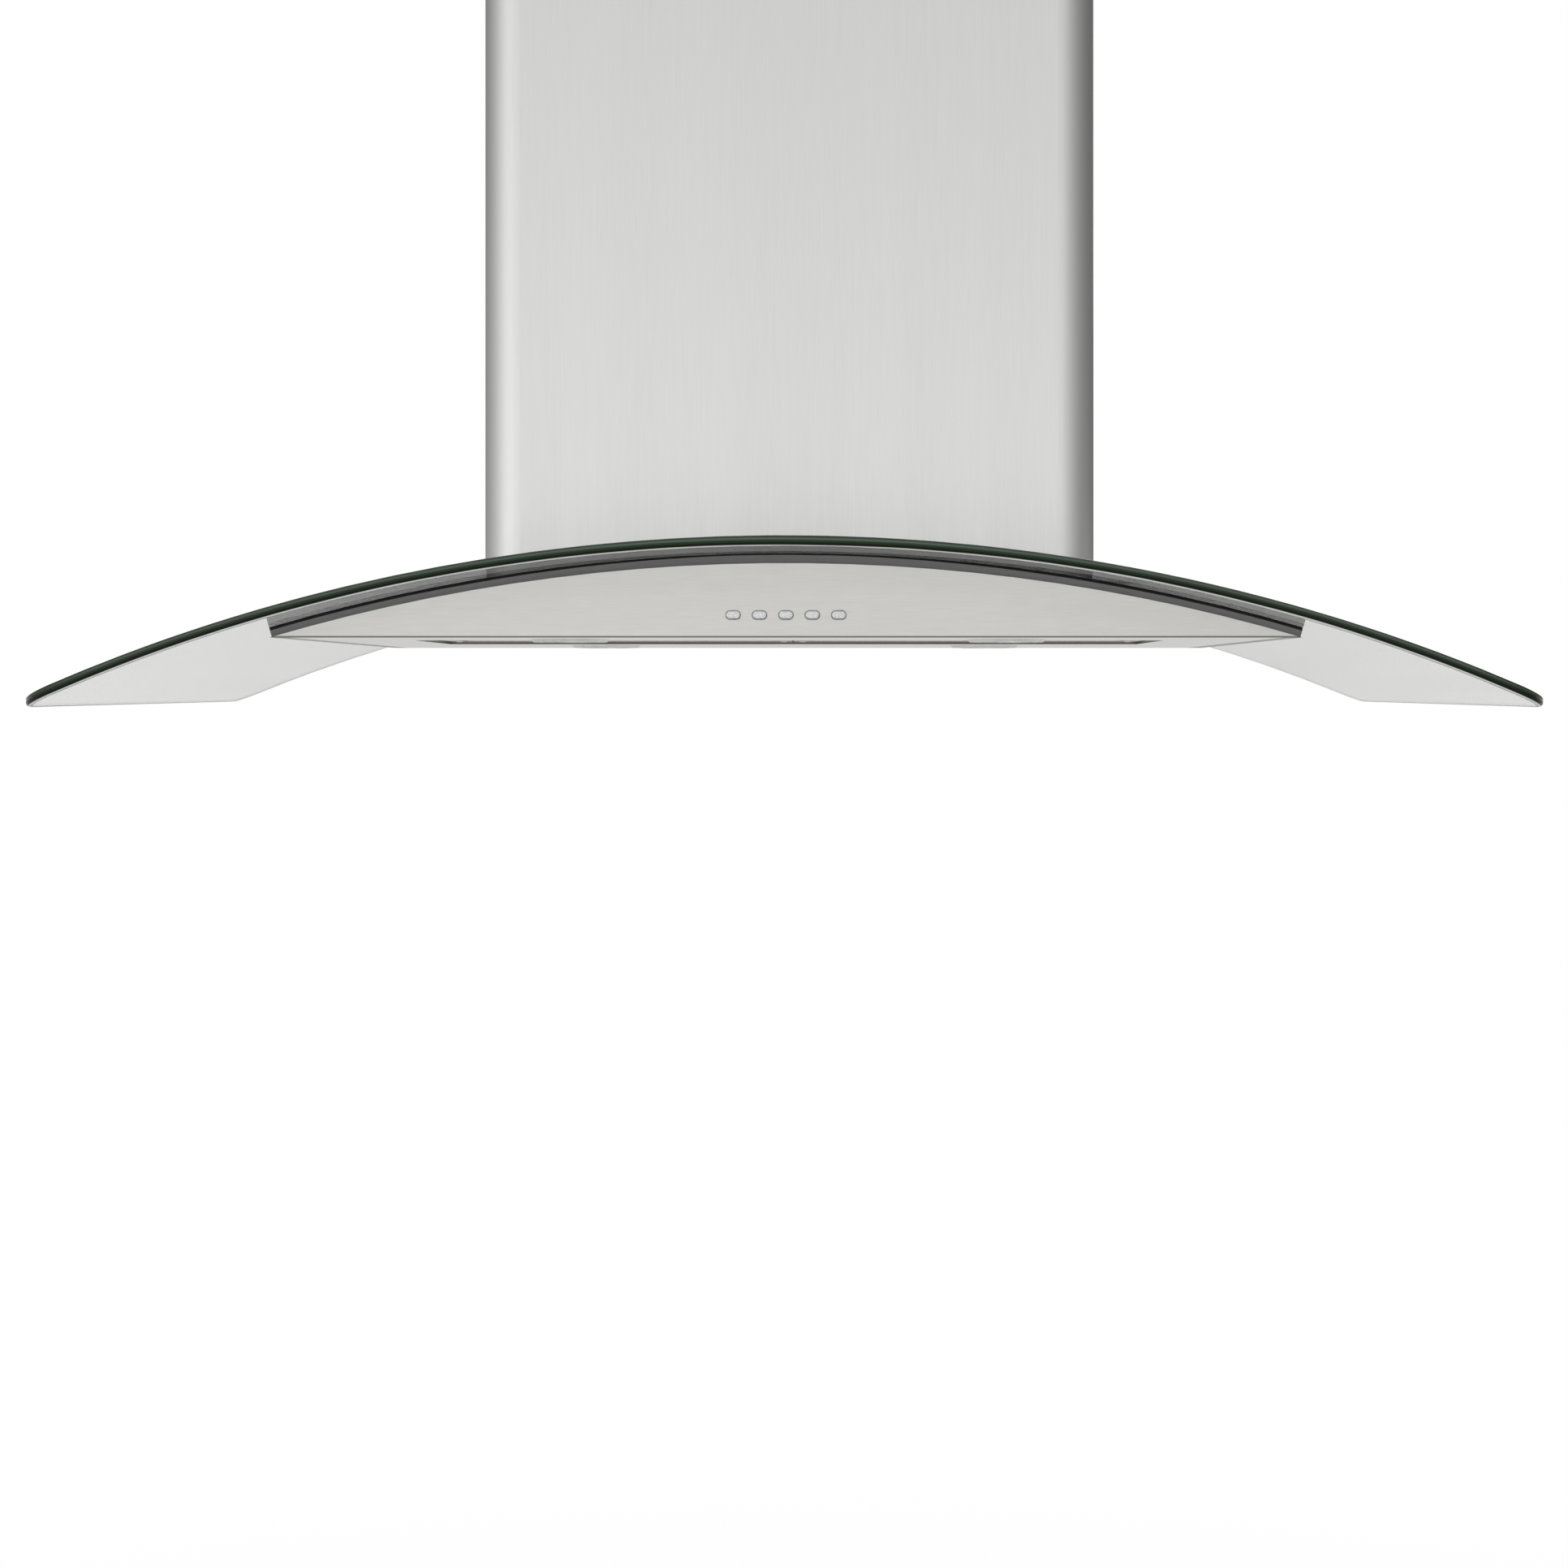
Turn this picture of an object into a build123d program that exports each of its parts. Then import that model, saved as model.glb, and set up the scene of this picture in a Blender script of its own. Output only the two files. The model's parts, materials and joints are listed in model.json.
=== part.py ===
from build123d import *
from math import acos, asin, cos, degrees, radians, sin, sqrt
import os

os.makedirs("parts", exist_ok=True)

# Island range hood, in millimetres. The origin is on the ceiling, in the middle of the ceiling
# plate. +Z is up, the side with the buttons faces -Y, and +X is to the right of someone facing it.

# Heights
ceiling_to_glass = 830.0      # ceiling to the top of the glass arch
lower_chimney_height = 500.0  # above the top of the arch
upper_chimney_height = 480.0
height_travel_up = 150.0      # how far the hood can be raised on its frame
height_travel_down = 50.0

# Glass
glass_width = 898.0
glass_depth = 600.0
glass_thickness = 6.2
glass_radius = 1120.0         # upper face of the arch
glass_bow = 28.0              # how far the front and rear edges swell in plan
glass_corner = 22.0
glass_edge_round = 2.5
cutout_gap = 5.0              # round the frame, where it passes through the glass
cutout_corner = 12.0
glass_hole_radius = 5.0

# Chimney
chimney_width = 394.0
chimney_depth = 270.0
chimney_corner = 25.0
chimney_sheet = 1.0
chimney_slide_gap = 1.0       # between the lower and the upper chimney
chimney_seam = 0.3            # between the front and the rear half
chimney_foot_gap = 0.3        # above the glass
vent_length = 70.0
vent_width = 4.0
vent_pitch = 10.0
vent_rows = 8
vent_from_ceiling = 50.0
seam_strip_sheet = 1.0
seam_strip_width = 40.0
seam_strip_inset = 30.0       # kept free at both ends of the upper chimney

# Canopy below the glass
canopy_width = 628.0
canopy_depth = 440.0
canopy_drop = 57.5            # top of the arch to the underside
canopy_sheet = 1.0
gasket_thickness = 1.0
gasket_inset = 1.0            # behind the seat's front and rear faces
gasket_end_inset = 0.5
gasket_gap = 0.1              # below the curved glass
seat_height = 5.0
seat_setback = 1.0            # behind the canopy's front and rear faces
seat_rim = 34.0
seat_gap = 0.1                # above the curved sheet
seat_corner = 5.0
stiffener_thickness = 2.0
stiffener_margin = 42.0       # in front of and behind the air opening
stiffener_gap = 0.1           # below the curved sheet
air_ledge = 8.0               # canopy sheet left inside the walls of the blower box
panel_end = 11.0              # between the panel and the canopy's pointed sides
panel_sheet = 1.0
panel_gap = 0.5
panel_fold_gap = 0.6          # below the switch block
panel_fold_end = 40.0         # kept free at both ends of the panel's folds

# Glass bolts
bolt_from_frame = 22.0        # beside the support frame
bolt_y = 70.0
bolt_margin = 8.5             # of the stiffener, past the bolts
bolt_radius = 3.0
bolt_hole_gap = 0.3
bolt_head_radius = 8.0
bolt_head_height = 3.5
bolt_head_round = 1.2
washer_radius = 10.0
washer_thickness = 1.5
nut_height = 5.0
nut_gap = 0.1                 # below the curved sheet
nut_radius = 5.8
nut_sides = 6

# Ceiling plate and support frame
ceiling_sheet = 2.0
ceiling_rim = 24.0
ceiling_fit = 0.2             # between the plate's rim and the upper chimney
ceiling_bolt_x = 260.0
ceiling_bolt_y = 150.0
ceiling_bolt_hole = 4.5
duct_hole_radius = 90.0
angle_flange = 25.0
angle_sheet = 2.0
angle_nest_gap = 0.3          # between the upper and the lower bar
upper_angle_length = 448.0
lower_angle_top = 480.0       # above the top of the arch
lock_screw_drop = 30.0        # below the top of the lower bar
lock_screw_radius = 2.5
lock_slot_gap = 0.4
lock_head_radius = 5.0
lock_head_height = 3.0
lock_nut_height = 4.0
slot_end_margin = 8.0

# Sheet metal screws in the chimney
screw_radius = 1.9
screw_hole_gap = 0.2
screw_length = 7.0
screw_head_radius = 3.8
screw_head_height = 2.0
screw_head_taper = 20.0       # degrees
upper_screw_y = 60.0
upper_screw_drop = 13.0
lower_screw_y = 18.0

# Chimney brackets
bracket_width = 60.0
bracket_sheet = 1.5
bracket_leg = 34.0
bracket_base = 50.0           # above the top of the arch

# Blower box
box_side_gap = 47.0           # between the box and the chimney's sides
box_end_gap = 19.0            # between the box and the chimney's front and rear
box_top = 222.0               # above the top of the arch
box_sheet = 1.5

# Fan
fan_axis_y = -38.0
fan_axis_height = 100.0       # above the top of the arch
impeller_radius = 60.0
blade_inner_radius = 47.0
blade_count = 36
blade_thickness = 1.0
blade_lean = 13.0             # degrees that a blade's tip leads its root
blade_bulge = 3.0
impeller_half_length = 52.0
impeller_ring = 3.0
impeller_disc = 2.0
hub_radius = 12.0
hub_length = 14.0
scroll_half_width = 60.0
scroll_wall = 2.0
scroll_start_radius = 66.0
scroll_end_radius = 90.0
scroll_start_angle = 100.0
scroll_end_angle = 360.0
scroll_points = 9
inlet_radius = 50.0
inlet_lip = 4.0
shaft_radius = 4.0
shaft_running_gap = 0.05
shaft_press_gap = 0.02
shaft_past_hub = 4.0
motor_radius = 36.0
motor_length = 50.0
motor_band = 22.0
motor_band_step = 2.0
motor_edge = 5.0
spider_plate = 3.0
spider_ring_width = 7.0
spider_arm_width = 9.0
spider_hub_radius = 24.0
spider_arms = 3

# Outlet collar and damper flaps
collar_radius = 75.0
collar_wall = 2.0
collar_height = 50.0
collar_flange_radius = 90.0
collar_flange = 3.0
flap_axis_height = 16.0       # above the collar's foot
flap_pin_radius = 1.5
flap_pin_inset = 0.5          # from the collar's outside
flap_running_gap = 0.05
flap_thickness = 1.5
flap_rim_gap = 1.5
flap_knuckle_radius = 2.8
flap_knuckle_gap = 0.6
flap_knuckle_length = 20.0
flap_knuckle_places = (-45.0, 15.0)
flap_seat_width = 4.0
flap_seat_thickness = 2.0
flap_seat_gap = 0.2

# Electrical pieces beside the blower box
terminal_width = 80.0
terminal_height = 60.0
terminal_depth = 32.0
terminal_wall = 2.0
terminal_base = 140.0         # above the top of the arch
terminal_cover = 2.5
terminal_cover_corner = 4.0
terminal_cover_chamfer = 0.8
gland_bore_radius = 4.5
gland_thread_radius = 8.0
gland_thread_length = 4.0
gland_nut_radius = 11.0
gland_nut_height = 6.0
gland_dome_radius = 8.5
gland_dome_height = 9.0
gland_dome_taper = 12.0       # degrees
gland_thread_gap = 0.2
capacitor_radius = 15.0
capacitor_height = 62.0
capacitor_edge = 2.0
capacitor_gap = 0.3

# Buttons
button_count = 5
button_pitch = 16.0
button_width = 8.8
button_height = 5.2
button_proud = 2.6
button_crown = 1.6
button_gap = 0.5
button_travel = 2.0
button_over_bottom = 13.6     # button centre above the underside
button_collar = 1.2
button_collar_step = 1.2
button_stem = 9.0
switch_width = 96.0
switch_height = 12.0
switch_depth = 20.0
switch_space = 4.2            # between the canopy's front sheet and the switch block
switch_foot = 6.0

# Grease filters
filter_width = 240.0
filter_depth = 151.0
filter_centre_y = -41.0       # the filters sit nearer the front
filter_thickness = 9.0
filter_gap = 1.3
filter_recess = 1.8           # above the underside
filter_bar = 12.0
filter_groove = 3.0
mesh_thickness = 6.0
mesh_fit = 0.2
mesh_columns = 12
mesh_rows = 7
mesh_bridge = 4.0
filter_stop_gap = 0.2
filter_stop_width = 5.0
tab_width = 18.0
tab_length = 5.0
tab_thickness = 1.2
tab_rise = 3.0                # above the filter's lower face
tab_spread = 130.0            # between the two tabs of one filter
tab_window_gap = 1.5
tab_window_height = 8.0
latch_travel = 3.0
latch_gap = 0.3
latch_wall = 1.5              # of the bar, in front of and below the latch
latch_body_width = 30.0
latch_body_length = 3.0
latch_body_height = 3.9
latch_pocket_length = 6.5
tongue_width = 12.0
tongue_thickness = 2.0
tongue_reach = 3.3
tongue_bevel = 1.2
finger_width = 20.0
finger_thickness = 2.0
finger_drop = 1.6
latch_spring_sheet = 0.4
latch_spring_width = 24.0
latch_spring_height = 3.0
catch_sheet = 0.6
catch_width = 14.0
catch_gap = 0.3
catch_hold = 1.5              # of the catch's nose under the tongue
notch_margin = 2.0

# Lamps
lamp_x = 138.0
lamp_front_y = -150.0
lamp_rear_y = 100.0
lamp_bezel_radius = 25.0
lamp_bezel_drop = 1.7
lamp_hole_radius = 21.5
lamp_hole_gap = 0.2
lamp_neck_wall = 2.0
lamp_neck_height = 5.0
lamp_lip = 1.5
lens_thickness = 2.5
lens_gap = 0.2
lamp_cup_radius = 25.5
lamp_cup_wall = 1.2
lamp_cup_height = 24.0
lamp_base_radius = 12.0
lamp_base_height = 6.0

# Places worked out from the sizes above
glass_top = -ceiling_to_glass
arch_z = glass_top - glass_radius
glass_inner_radius = glass_radius - glass_thickness
gasket_radius = glass_inner_radius - gasket_gap
seat_radius = gasket_radius - gasket_thickness
seat_foot_radius = seat_radius - seat_height
canopy_radius = seat_foot_radius - seat_gap
canopy_bottom = glass_top - canopy_drop
canopy_front = canopy_depth / 2
canopy_chord = 2 * sqrt(canopy_radius**2 - (canopy_bottom - arch_z) ** 2)
panel_width = canopy_chord - 2 * panel_end
panel_fold_length = panel_width - 2 * panel_fold_end
lower_chimney_top = glass_top + lower_chimney_height
box_width = chimney_width - 2 * box_side_gap
box_depth = chimney_depth - 2 * box_end_gap
angle_x = box_width / 2 + angle_sheet
angle_y = box_depth / 2 + angle_sheet
bolt_x = angle_x + bolt_from_frame
upper_angle_x = angle_x - angle_sheet - angle_nest_gap
upper_angle_y = angle_y - angle_sheet - angle_nest_gap
lock_z = glass_top + lower_angle_top - lock_screw_drop
lock_y = angle_y - angle_flange / 2
box_top_z = glass_top + box_top
fan_z = glass_top + fan_axis_height
collar_foot = box_top_z
flap_z = collar_foot + flap_axis_height
button_z = canopy_bottom + button_over_bottom
filter_bottom = canopy_bottom + filter_recess
filter_top = filter_bottom + filter_thickness
opening_width = 2 * filter_width + 3 * filter_gap
opening_depth = filter_depth + 2 * filter_gap
opening_front = filter_centre_y - opening_depth / 2
opening_rear = filter_centre_y + opening_depth / 2
filter_front = filter_centre_y - filter_depth / 2
filter_rear = filter_centre_y + filter_depth / 2
opening_wall_top = filter_top + filter_stop_gap + panel_sheet
panel_fold_height = button_over_bottom - switch_height / 2 - panel_fold_gap
upper_width = chimney_width - 2 * (chimney_sheet + chimney_slide_gap)
upper_depth = chimney_depth - 2 * (chimney_sheet + chimney_slide_gap)
upper_corner = chimney_corner - chimney_sheet - chimney_slide_gap
plate_width = upper_width - 2 * (chimney_sheet + ceiling_fit)
plate_depth = upper_depth - 2 * (chimney_sheet + ceiling_fit)
plate_corner = upper_corner - chimney_sheet - ceiling_fit
bracket_low = glass_top + bracket_base
bracket_bend = bracket_low + bracket_leg
lower_screw_z = bracket_bend + bracket_leg / 2
sides = (("left", -1), ("right", 1))
ends = (("front", -1), ("rear", 1))


def arch_top(radius, x):
    """Height of an arc of the glass's arch at a distance x from the middle."""
    return arch_z + sqrt(radius**2 - x**2)


def arch_band(outer, inner, width):
    """Strip between two arcs of the arch, with radial ends."""
    half = degrees(asin(width / 2 / outer))
    with BuildSketch(Plane.XZ) as band:
        with BuildLine():
            upper = CenterArc((0, arch_z), outer, 90 - half, 2 * half)
            lower = CenterArc((0, arch_z), inner, 90 - half, 2 * half)
            Line(upper @ 0, lower @ 0)
            Line(upper @ 1, lower @ 1)
        make_face()
    return band.sketch


def arch_segment(radius, bottom):
    """Segment of the arch above a level line."""
    half = degrees(acos((bottom - arch_z) / radius))
    with BuildSketch(Plane.XZ) as segment:
        with BuildLine():
            arc = CenterArc((0, arch_z), radius, 90 - half, 2 * half)
            Line(arc @ 0, arc @ 1)
        make_face()
    return segment.sketch


def arch_block(radius, bottom, width):
    """Block with an arched top, upright sides and a level base."""
    half = degrees(asin(width / 2 / radius))
    with BuildSketch(Plane.XZ) as block:
        with BuildLine():
            arc = CenterArc((0, arch_z), radius, 90 - half, 2 * half)
            Polyline(arc @ 0, (width / 2, bottom), (-width / 2, bottom), arc @ 1)
        make_face()
    return block.sketch


def finish(piece, name):
    """Label a piece and write it."""
    piece.part.label = name
    export_step(piece.part, f"parts/{name}.step")


# Glass
bolt_tilt = degrees(asin(bolt_x / glass_radius))
bolt_places = [
    Location((sx * bolt_x, sy * bolt_y, arch_top(glass_radius, bolt_x)), (0, sx * bolt_tilt, 0))
    for sx in (-1, 1)
    for sy in (-1, 1)
]
spacer_thickness = glass_inner_radius - canopy_radius
stiffener_radius = canopy_radius - canopy_sheet - stiffener_gap
bolt_grip = glass_radius - stiffener_radius + stiffener_thickness + nut_gap
cutout_width = 2 * (angle_x + cutout_gap)
cutout_depth = 2 * (angle_y + cutout_gap)

with BuildPart() as glass_canopy:
    glass_strip = arch_band(glass_radius, glass_inner_radius, glass_width + 2 * glass_thickness)
    extrude(glass_strip, amount=glass_depth / 2, both=True)
    with BuildSketch(Plane.XY.offset(arch_z)) as glass_plan:
        with BuildLine():
            half_width = glass_width / 2
            half_side = glass_depth / 2 - glass_bow
            ThreePointArc((-half_width, -half_side), (0, -glass_depth / 2), (half_width, -half_side))
            Line((half_width, -half_side), (half_width, half_side))
            ThreePointArc((half_width, half_side), (0, glass_depth / 2), (-half_width, half_side))
            Line((-half_width, half_side), (-half_width, -half_side))
        make_face()
        fillet(glass_plan.vertices(), glass_corner)
    extrude(amount=glass_radius + glass_thickness, mode=Mode.INTERSECT)
    broad_faces = glass_canopy.faces().sort_by(SortBy.AREA)[-2:]
    fillet(broad_faces.edges(), glass_edge_round)
    with BuildSketch(Plane.XY.offset(arch_z)):
        RectangleRounded(cutout_width, cutout_depth, cutout_corner)
    extrude(amount=glass_radius + glass_thickness, mode=Mode.SUBTRACT)
    with Locations(*bolt_places):
        Hole(glass_hole_radius, bolt_grip)
finish(glass_canopy, "glass_canopy")

seat_inner_width = canopy_width - 2 * seat_rim
seat_depth = canopy_depth - 2 * seat_setback
seat_inner_depth = seat_depth - 2 * seat_rim

with BuildPart() as glass_gasket:
    gasket_strip = arch_band(gasket_radius, seat_radius, canopy_width - 2 * gasket_end_inset)
    extrude(gasket_strip, amount=seat_depth / 2 - gasket_inset, both=True)
    with BuildSketch(Plane.XY.offset(arch_z)):
        Rectangle(seat_inner_width + 2 * gasket_inset, seat_inner_depth + 2 * gasket_inset)
    extrude(amount=glass_radius, mode=Mode.SUBTRACT)
finish(glass_gasket, "glass_gasket")

with BuildPart() as glass_seat_frame:
    seat_strip = arch_band(seat_radius, seat_foot_radius, canopy_width)
    extrude(seat_strip, amount=seat_depth / 2, both=True)
    corner_edges = glass_seat_frame.edges().filter_by(GeomType.LINE).filter_by(Axis.Y, reverse=True)
    fillet(corner_edges, seat_corner)
    with BuildSketch(Plane.XY.offset(arch_z)):
        Rectangle(seat_inner_width, seat_inner_depth)
    extrude(amount=glass_radius, mode=Mode.SUBTRACT)
    split(bisect_by=Plane.XY.offset(canopy_bottom), keep=Keep.TOP)
finish(glass_seat_frame, "glass_seat_frame")

with BuildPart() as glass_washers:
    with Locations(*bolt_places):
        Cylinder(washer_radius, washer_thickness, align=(Align.CENTER, Align.CENTER, Align.MIN))
        with Locations((0, 0, -glass_thickness)):
            Cylinder(washer_radius, spacer_thickness, align=(Align.CENTER, Align.CENTER, Align.MAX))
    with Locations(*bolt_places):
        with Locations((0, 0, washer_thickness)):
            Hole(bolt_radius + bolt_hole_gap, washer_thickness + bolt_grip)
    extrude(
        arch_band(glass_radius, glass_inner_radius, glass_width),
        amount=glass_depth / 2,
        both=True,
        mode=Mode.SUBTRACT,
    )
    extrude(
        arch_band(canopy_radius, canopy_radius - glass_thickness, glass_width / 2),
        amount=glass_depth / 2,
        both=True,
        mode=Mode.SUBTRACT,
    )
finish(glass_washers, "glass_washers")

with BuildPart() as glass_bolts:
    with Locations(*bolt_places):
        with Locations((0, 0, washer_thickness)):
            Cylinder(bolt_head_radius, bolt_head_height, align=(Align.CENTER, Align.CENTER, Align.MIN))
            Cylinder(
                bolt_radius,
                washer_thickness + bolt_grip + nut_height,
                align=(Align.CENTER, Align.CENTER, Align.MAX),
            )
    head_rims = glass_bolts.faces().filter_by(GeomType.PLANE).group_by(SortBy.AREA)[-1].edges()
    fillet(head_rims, bolt_head_round)
    for place in bolt_places:
        with BuildSketch(Plane(place).offset(-bolt_grip)):
            RegularPolygon(nut_radius, nut_sides)
        extrude(amount=-nut_height)
finish(glass_bolts, "glass_bolts")

# Canopy
air_width = box_width - 2 * (box_sheet + air_ledge)
air_depth = box_depth - 2 * (box_sheet + air_ledge)
button_places = [
    ((index - (button_count - 1) / 2) * button_pitch, button_z) for index in range(button_count)
]

with BuildPart() as canopy_shell:
    extrude(arch_segment(canopy_radius, canopy_bottom), amount=canopy_front, both=True)
    hollow = arch_block(canopy_radius - canopy_sheet, canopy_bottom, panel_width + 2 * panel_gap)
    extrude(hollow, amount=canopy_front - canopy_sheet, both=True, mode=Mode.SUBTRACT)
    with BuildSketch(Plane.XY.offset(canopy_bottom)):
        Rectangle(air_width, air_depth)
    extrude(amount=canopy_drop, mode=Mode.SUBTRACT)
    with Locations(*bolt_places):
        Hole(bolt_radius + bolt_hole_gap, bolt_grip)
    with BuildSketch(Plane.XZ.offset(canopy_front)):
        with Locations(*button_places):
            SlotOverall(button_width + 2 * button_gap, button_height + 2 * button_gap)
    extrude(amount=-2 * canopy_sheet, mode=Mode.SUBTRACT)
finish(canopy_shell, "canopy_shell")

with BuildPart() as canopy_stiffener:
    stiffener_width = 2 * (bolt_x + bolt_margin)
    stiffener_strip = arch_band(stiffener_radius, stiffener_radius - stiffener_thickness, stiffener_width)
    extrude(stiffener_strip, amount=air_depth / 2 + stiffener_margin, both=True)
    with BuildSketch(Plane.XY.offset(canopy_bottom)):
        Rectangle(air_width, air_depth)
    extrude(amount=canopy_drop, mode=Mode.SUBTRACT)
    with Locations(*bolt_places):
        Hole(bolt_radius + bolt_hole_gap, bolt_grip)
finish(canopy_stiffener, "canopy_stiffener")

# Underside panel with the filter opening, lamp holes and the filters' seats
panel_depth = canopy_depth - 2 * canopy_sheet
filter_places = [side * (filter_width + filter_gap) / 2 for _, side in sides]
tab_offsets = (-tab_spread / 2, tab_spread / 2)
notch_reach = panel_sheet + notch_margin
notch_top = filter_bottom + filter_thickness - notch_margin
lamp_places = [(sx * lamp_x, y) for sx in (-1, 1) for y in (lamp_front_y, lamp_rear_y)]

with BuildPart() as underside_panel:
    with BuildSketch(Plane.XY.offset(canopy_bottom)):
        Rectangle(panel_width, panel_depth)
        with Locations((0, filter_centre_y)):
            Rectangle(opening_width, opening_depth, mode=Mode.SUBTRACT)
        with Locations(*lamp_places):
            Circle(lamp_hole_radius, mode=Mode.SUBTRACT)
    extrude(amount=panel_sheet)
    with BuildSketch(Plane.XY.offset(canopy_bottom)):
        with Locations((0, filter_centre_y)):
            Rectangle(opening_width + 2 * panel_sheet, opening_depth + 2 * panel_sheet)
            Rectangle(opening_width, opening_depth, mode=Mode.SUBTRACT)
    extrude(amount=opening_wall_top - canopy_bottom)
    with BuildSketch(Plane.XY.offset(opening_wall_top)):
        with Locations((0, filter_centre_y)):
            Rectangle(opening_width, opening_depth)
            Rectangle(
                opening_width - 2 * filter_stop_width,
                opening_depth - 2 * filter_stop_width,
                mode=Mode.SUBTRACT,
            )
    extrude(amount=-panel_sheet)
    with BuildSketch(Plane.XY.offset(canopy_bottom)):
        with GridLocations(0, panel_depth - panel_sheet, 1, 2):
            Rectangle(panel_fold_length, panel_sheet)
    extrude(amount=panel_fold_height)
    with BuildSketch(Plane.XZ.offset(-opening_rear)):
        for place in filter_places:
            with Locations(*[(place + offset, filter_bottom + tab_window_gap) for offset in tab_offsets]):
                Rectangle(
                    tab_width + 2 * tab_window_gap,
                    tab_window_height - tab_window_gap,
                    align=(Align.CENTER, Align.MIN),
                )
    extrude(amount=-panel_sheet, mode=Mode.SUBTRACT)
    with BuildSketch(Plane.XZ.offset(-opening_front)):
        with Locations(*[(place, canopy_bottom) for place in filter_places]):
            Rectangle(
                tongue_width + 2 * notch_margin,
                notch_top - canopy_bottom,
                align=(Align.CENTER, Align.MIN),
            )
    extrude(amount=notch_reach, mode=Mode.SUBTRACT)
finish(underside_panel, "underside_panel")

# Spring clips that hook under the latch tongues
tongue_bottom = filter_bottom + latch_wall + latch_gap + (latch_body_height - tongue_thickness) / 2
tongue_tip = filter_front - tongue_reach
catch_back = opening_front - panel_sheet
catch_face = tongue_tip - catch_gap
catch_top = opening_wall_top
nose_top = tongue_bottom - catch_gap

with BuildPart() as filter_catches:
    for place in filter_places:
        with BuildSketch(Plane.YZ.offset(place)):
            with BuildLine():
                Polyline(
                    (catch_back, catch_top),
                    (catch_face - catch_sheet, catch_top),
                    (catch_face - catch_sheet, nose_top - catch_sheet),
                    (tongue_tip + catch_hold, nose_top - catch_sheet),
                    (tongue_tip + catch_hold, nose_top),
                    (catch_face, nose_top),
                    (catch_face, catch_top - catch_sheet),
                    (catch_back, catch_top - catch_sheet),
                    close=True,
                )
            make_face()
        extrude(amount=catch_width / 2, both=True)
finish(filter_catches, "filter_catches")

# Grease filters with their sliding latches
mesh_width = filter_width - 2 * (filter_bar - filter_groove + mesh_fit)
mesh_depth = filter_depth - 2 * (filter_bar - filter_groove + mesh_fit)
mesh_open_width = filter_width - 2 * filter_bar
mesh_open_depth = filter_depth - 2 * filter_bar
mesh_middle = filter_bottom + filter_thickness / 2
mesh_pitch_x = mesh_open_width / mesh_columns
mesh_pitch_y = mesh_open_depth / mesh_rows
latch_base = filter_bottom + latch_wall
pocket_height = latch_body_height + 2 * latch_gap
latch_face = filter_front + latch_wall
spring_front = latch_face + latch_gap + latch_body_length
spring_back = latch_face + latch_pocket_length

half_cell_x = (mesh_pitch_x - mesh_bridge) / 2
half_cell_y = (mesh_pitch_y - mesh_bridge) / 2

with BuildSketch() as mesh_cell:
    with BuildLine():
        Polyline((half_cell_x, 0), (0, half_cell_y), (-half_cell_x, 0), (0, -half_cell_y), close=True)
    make_face()

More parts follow.
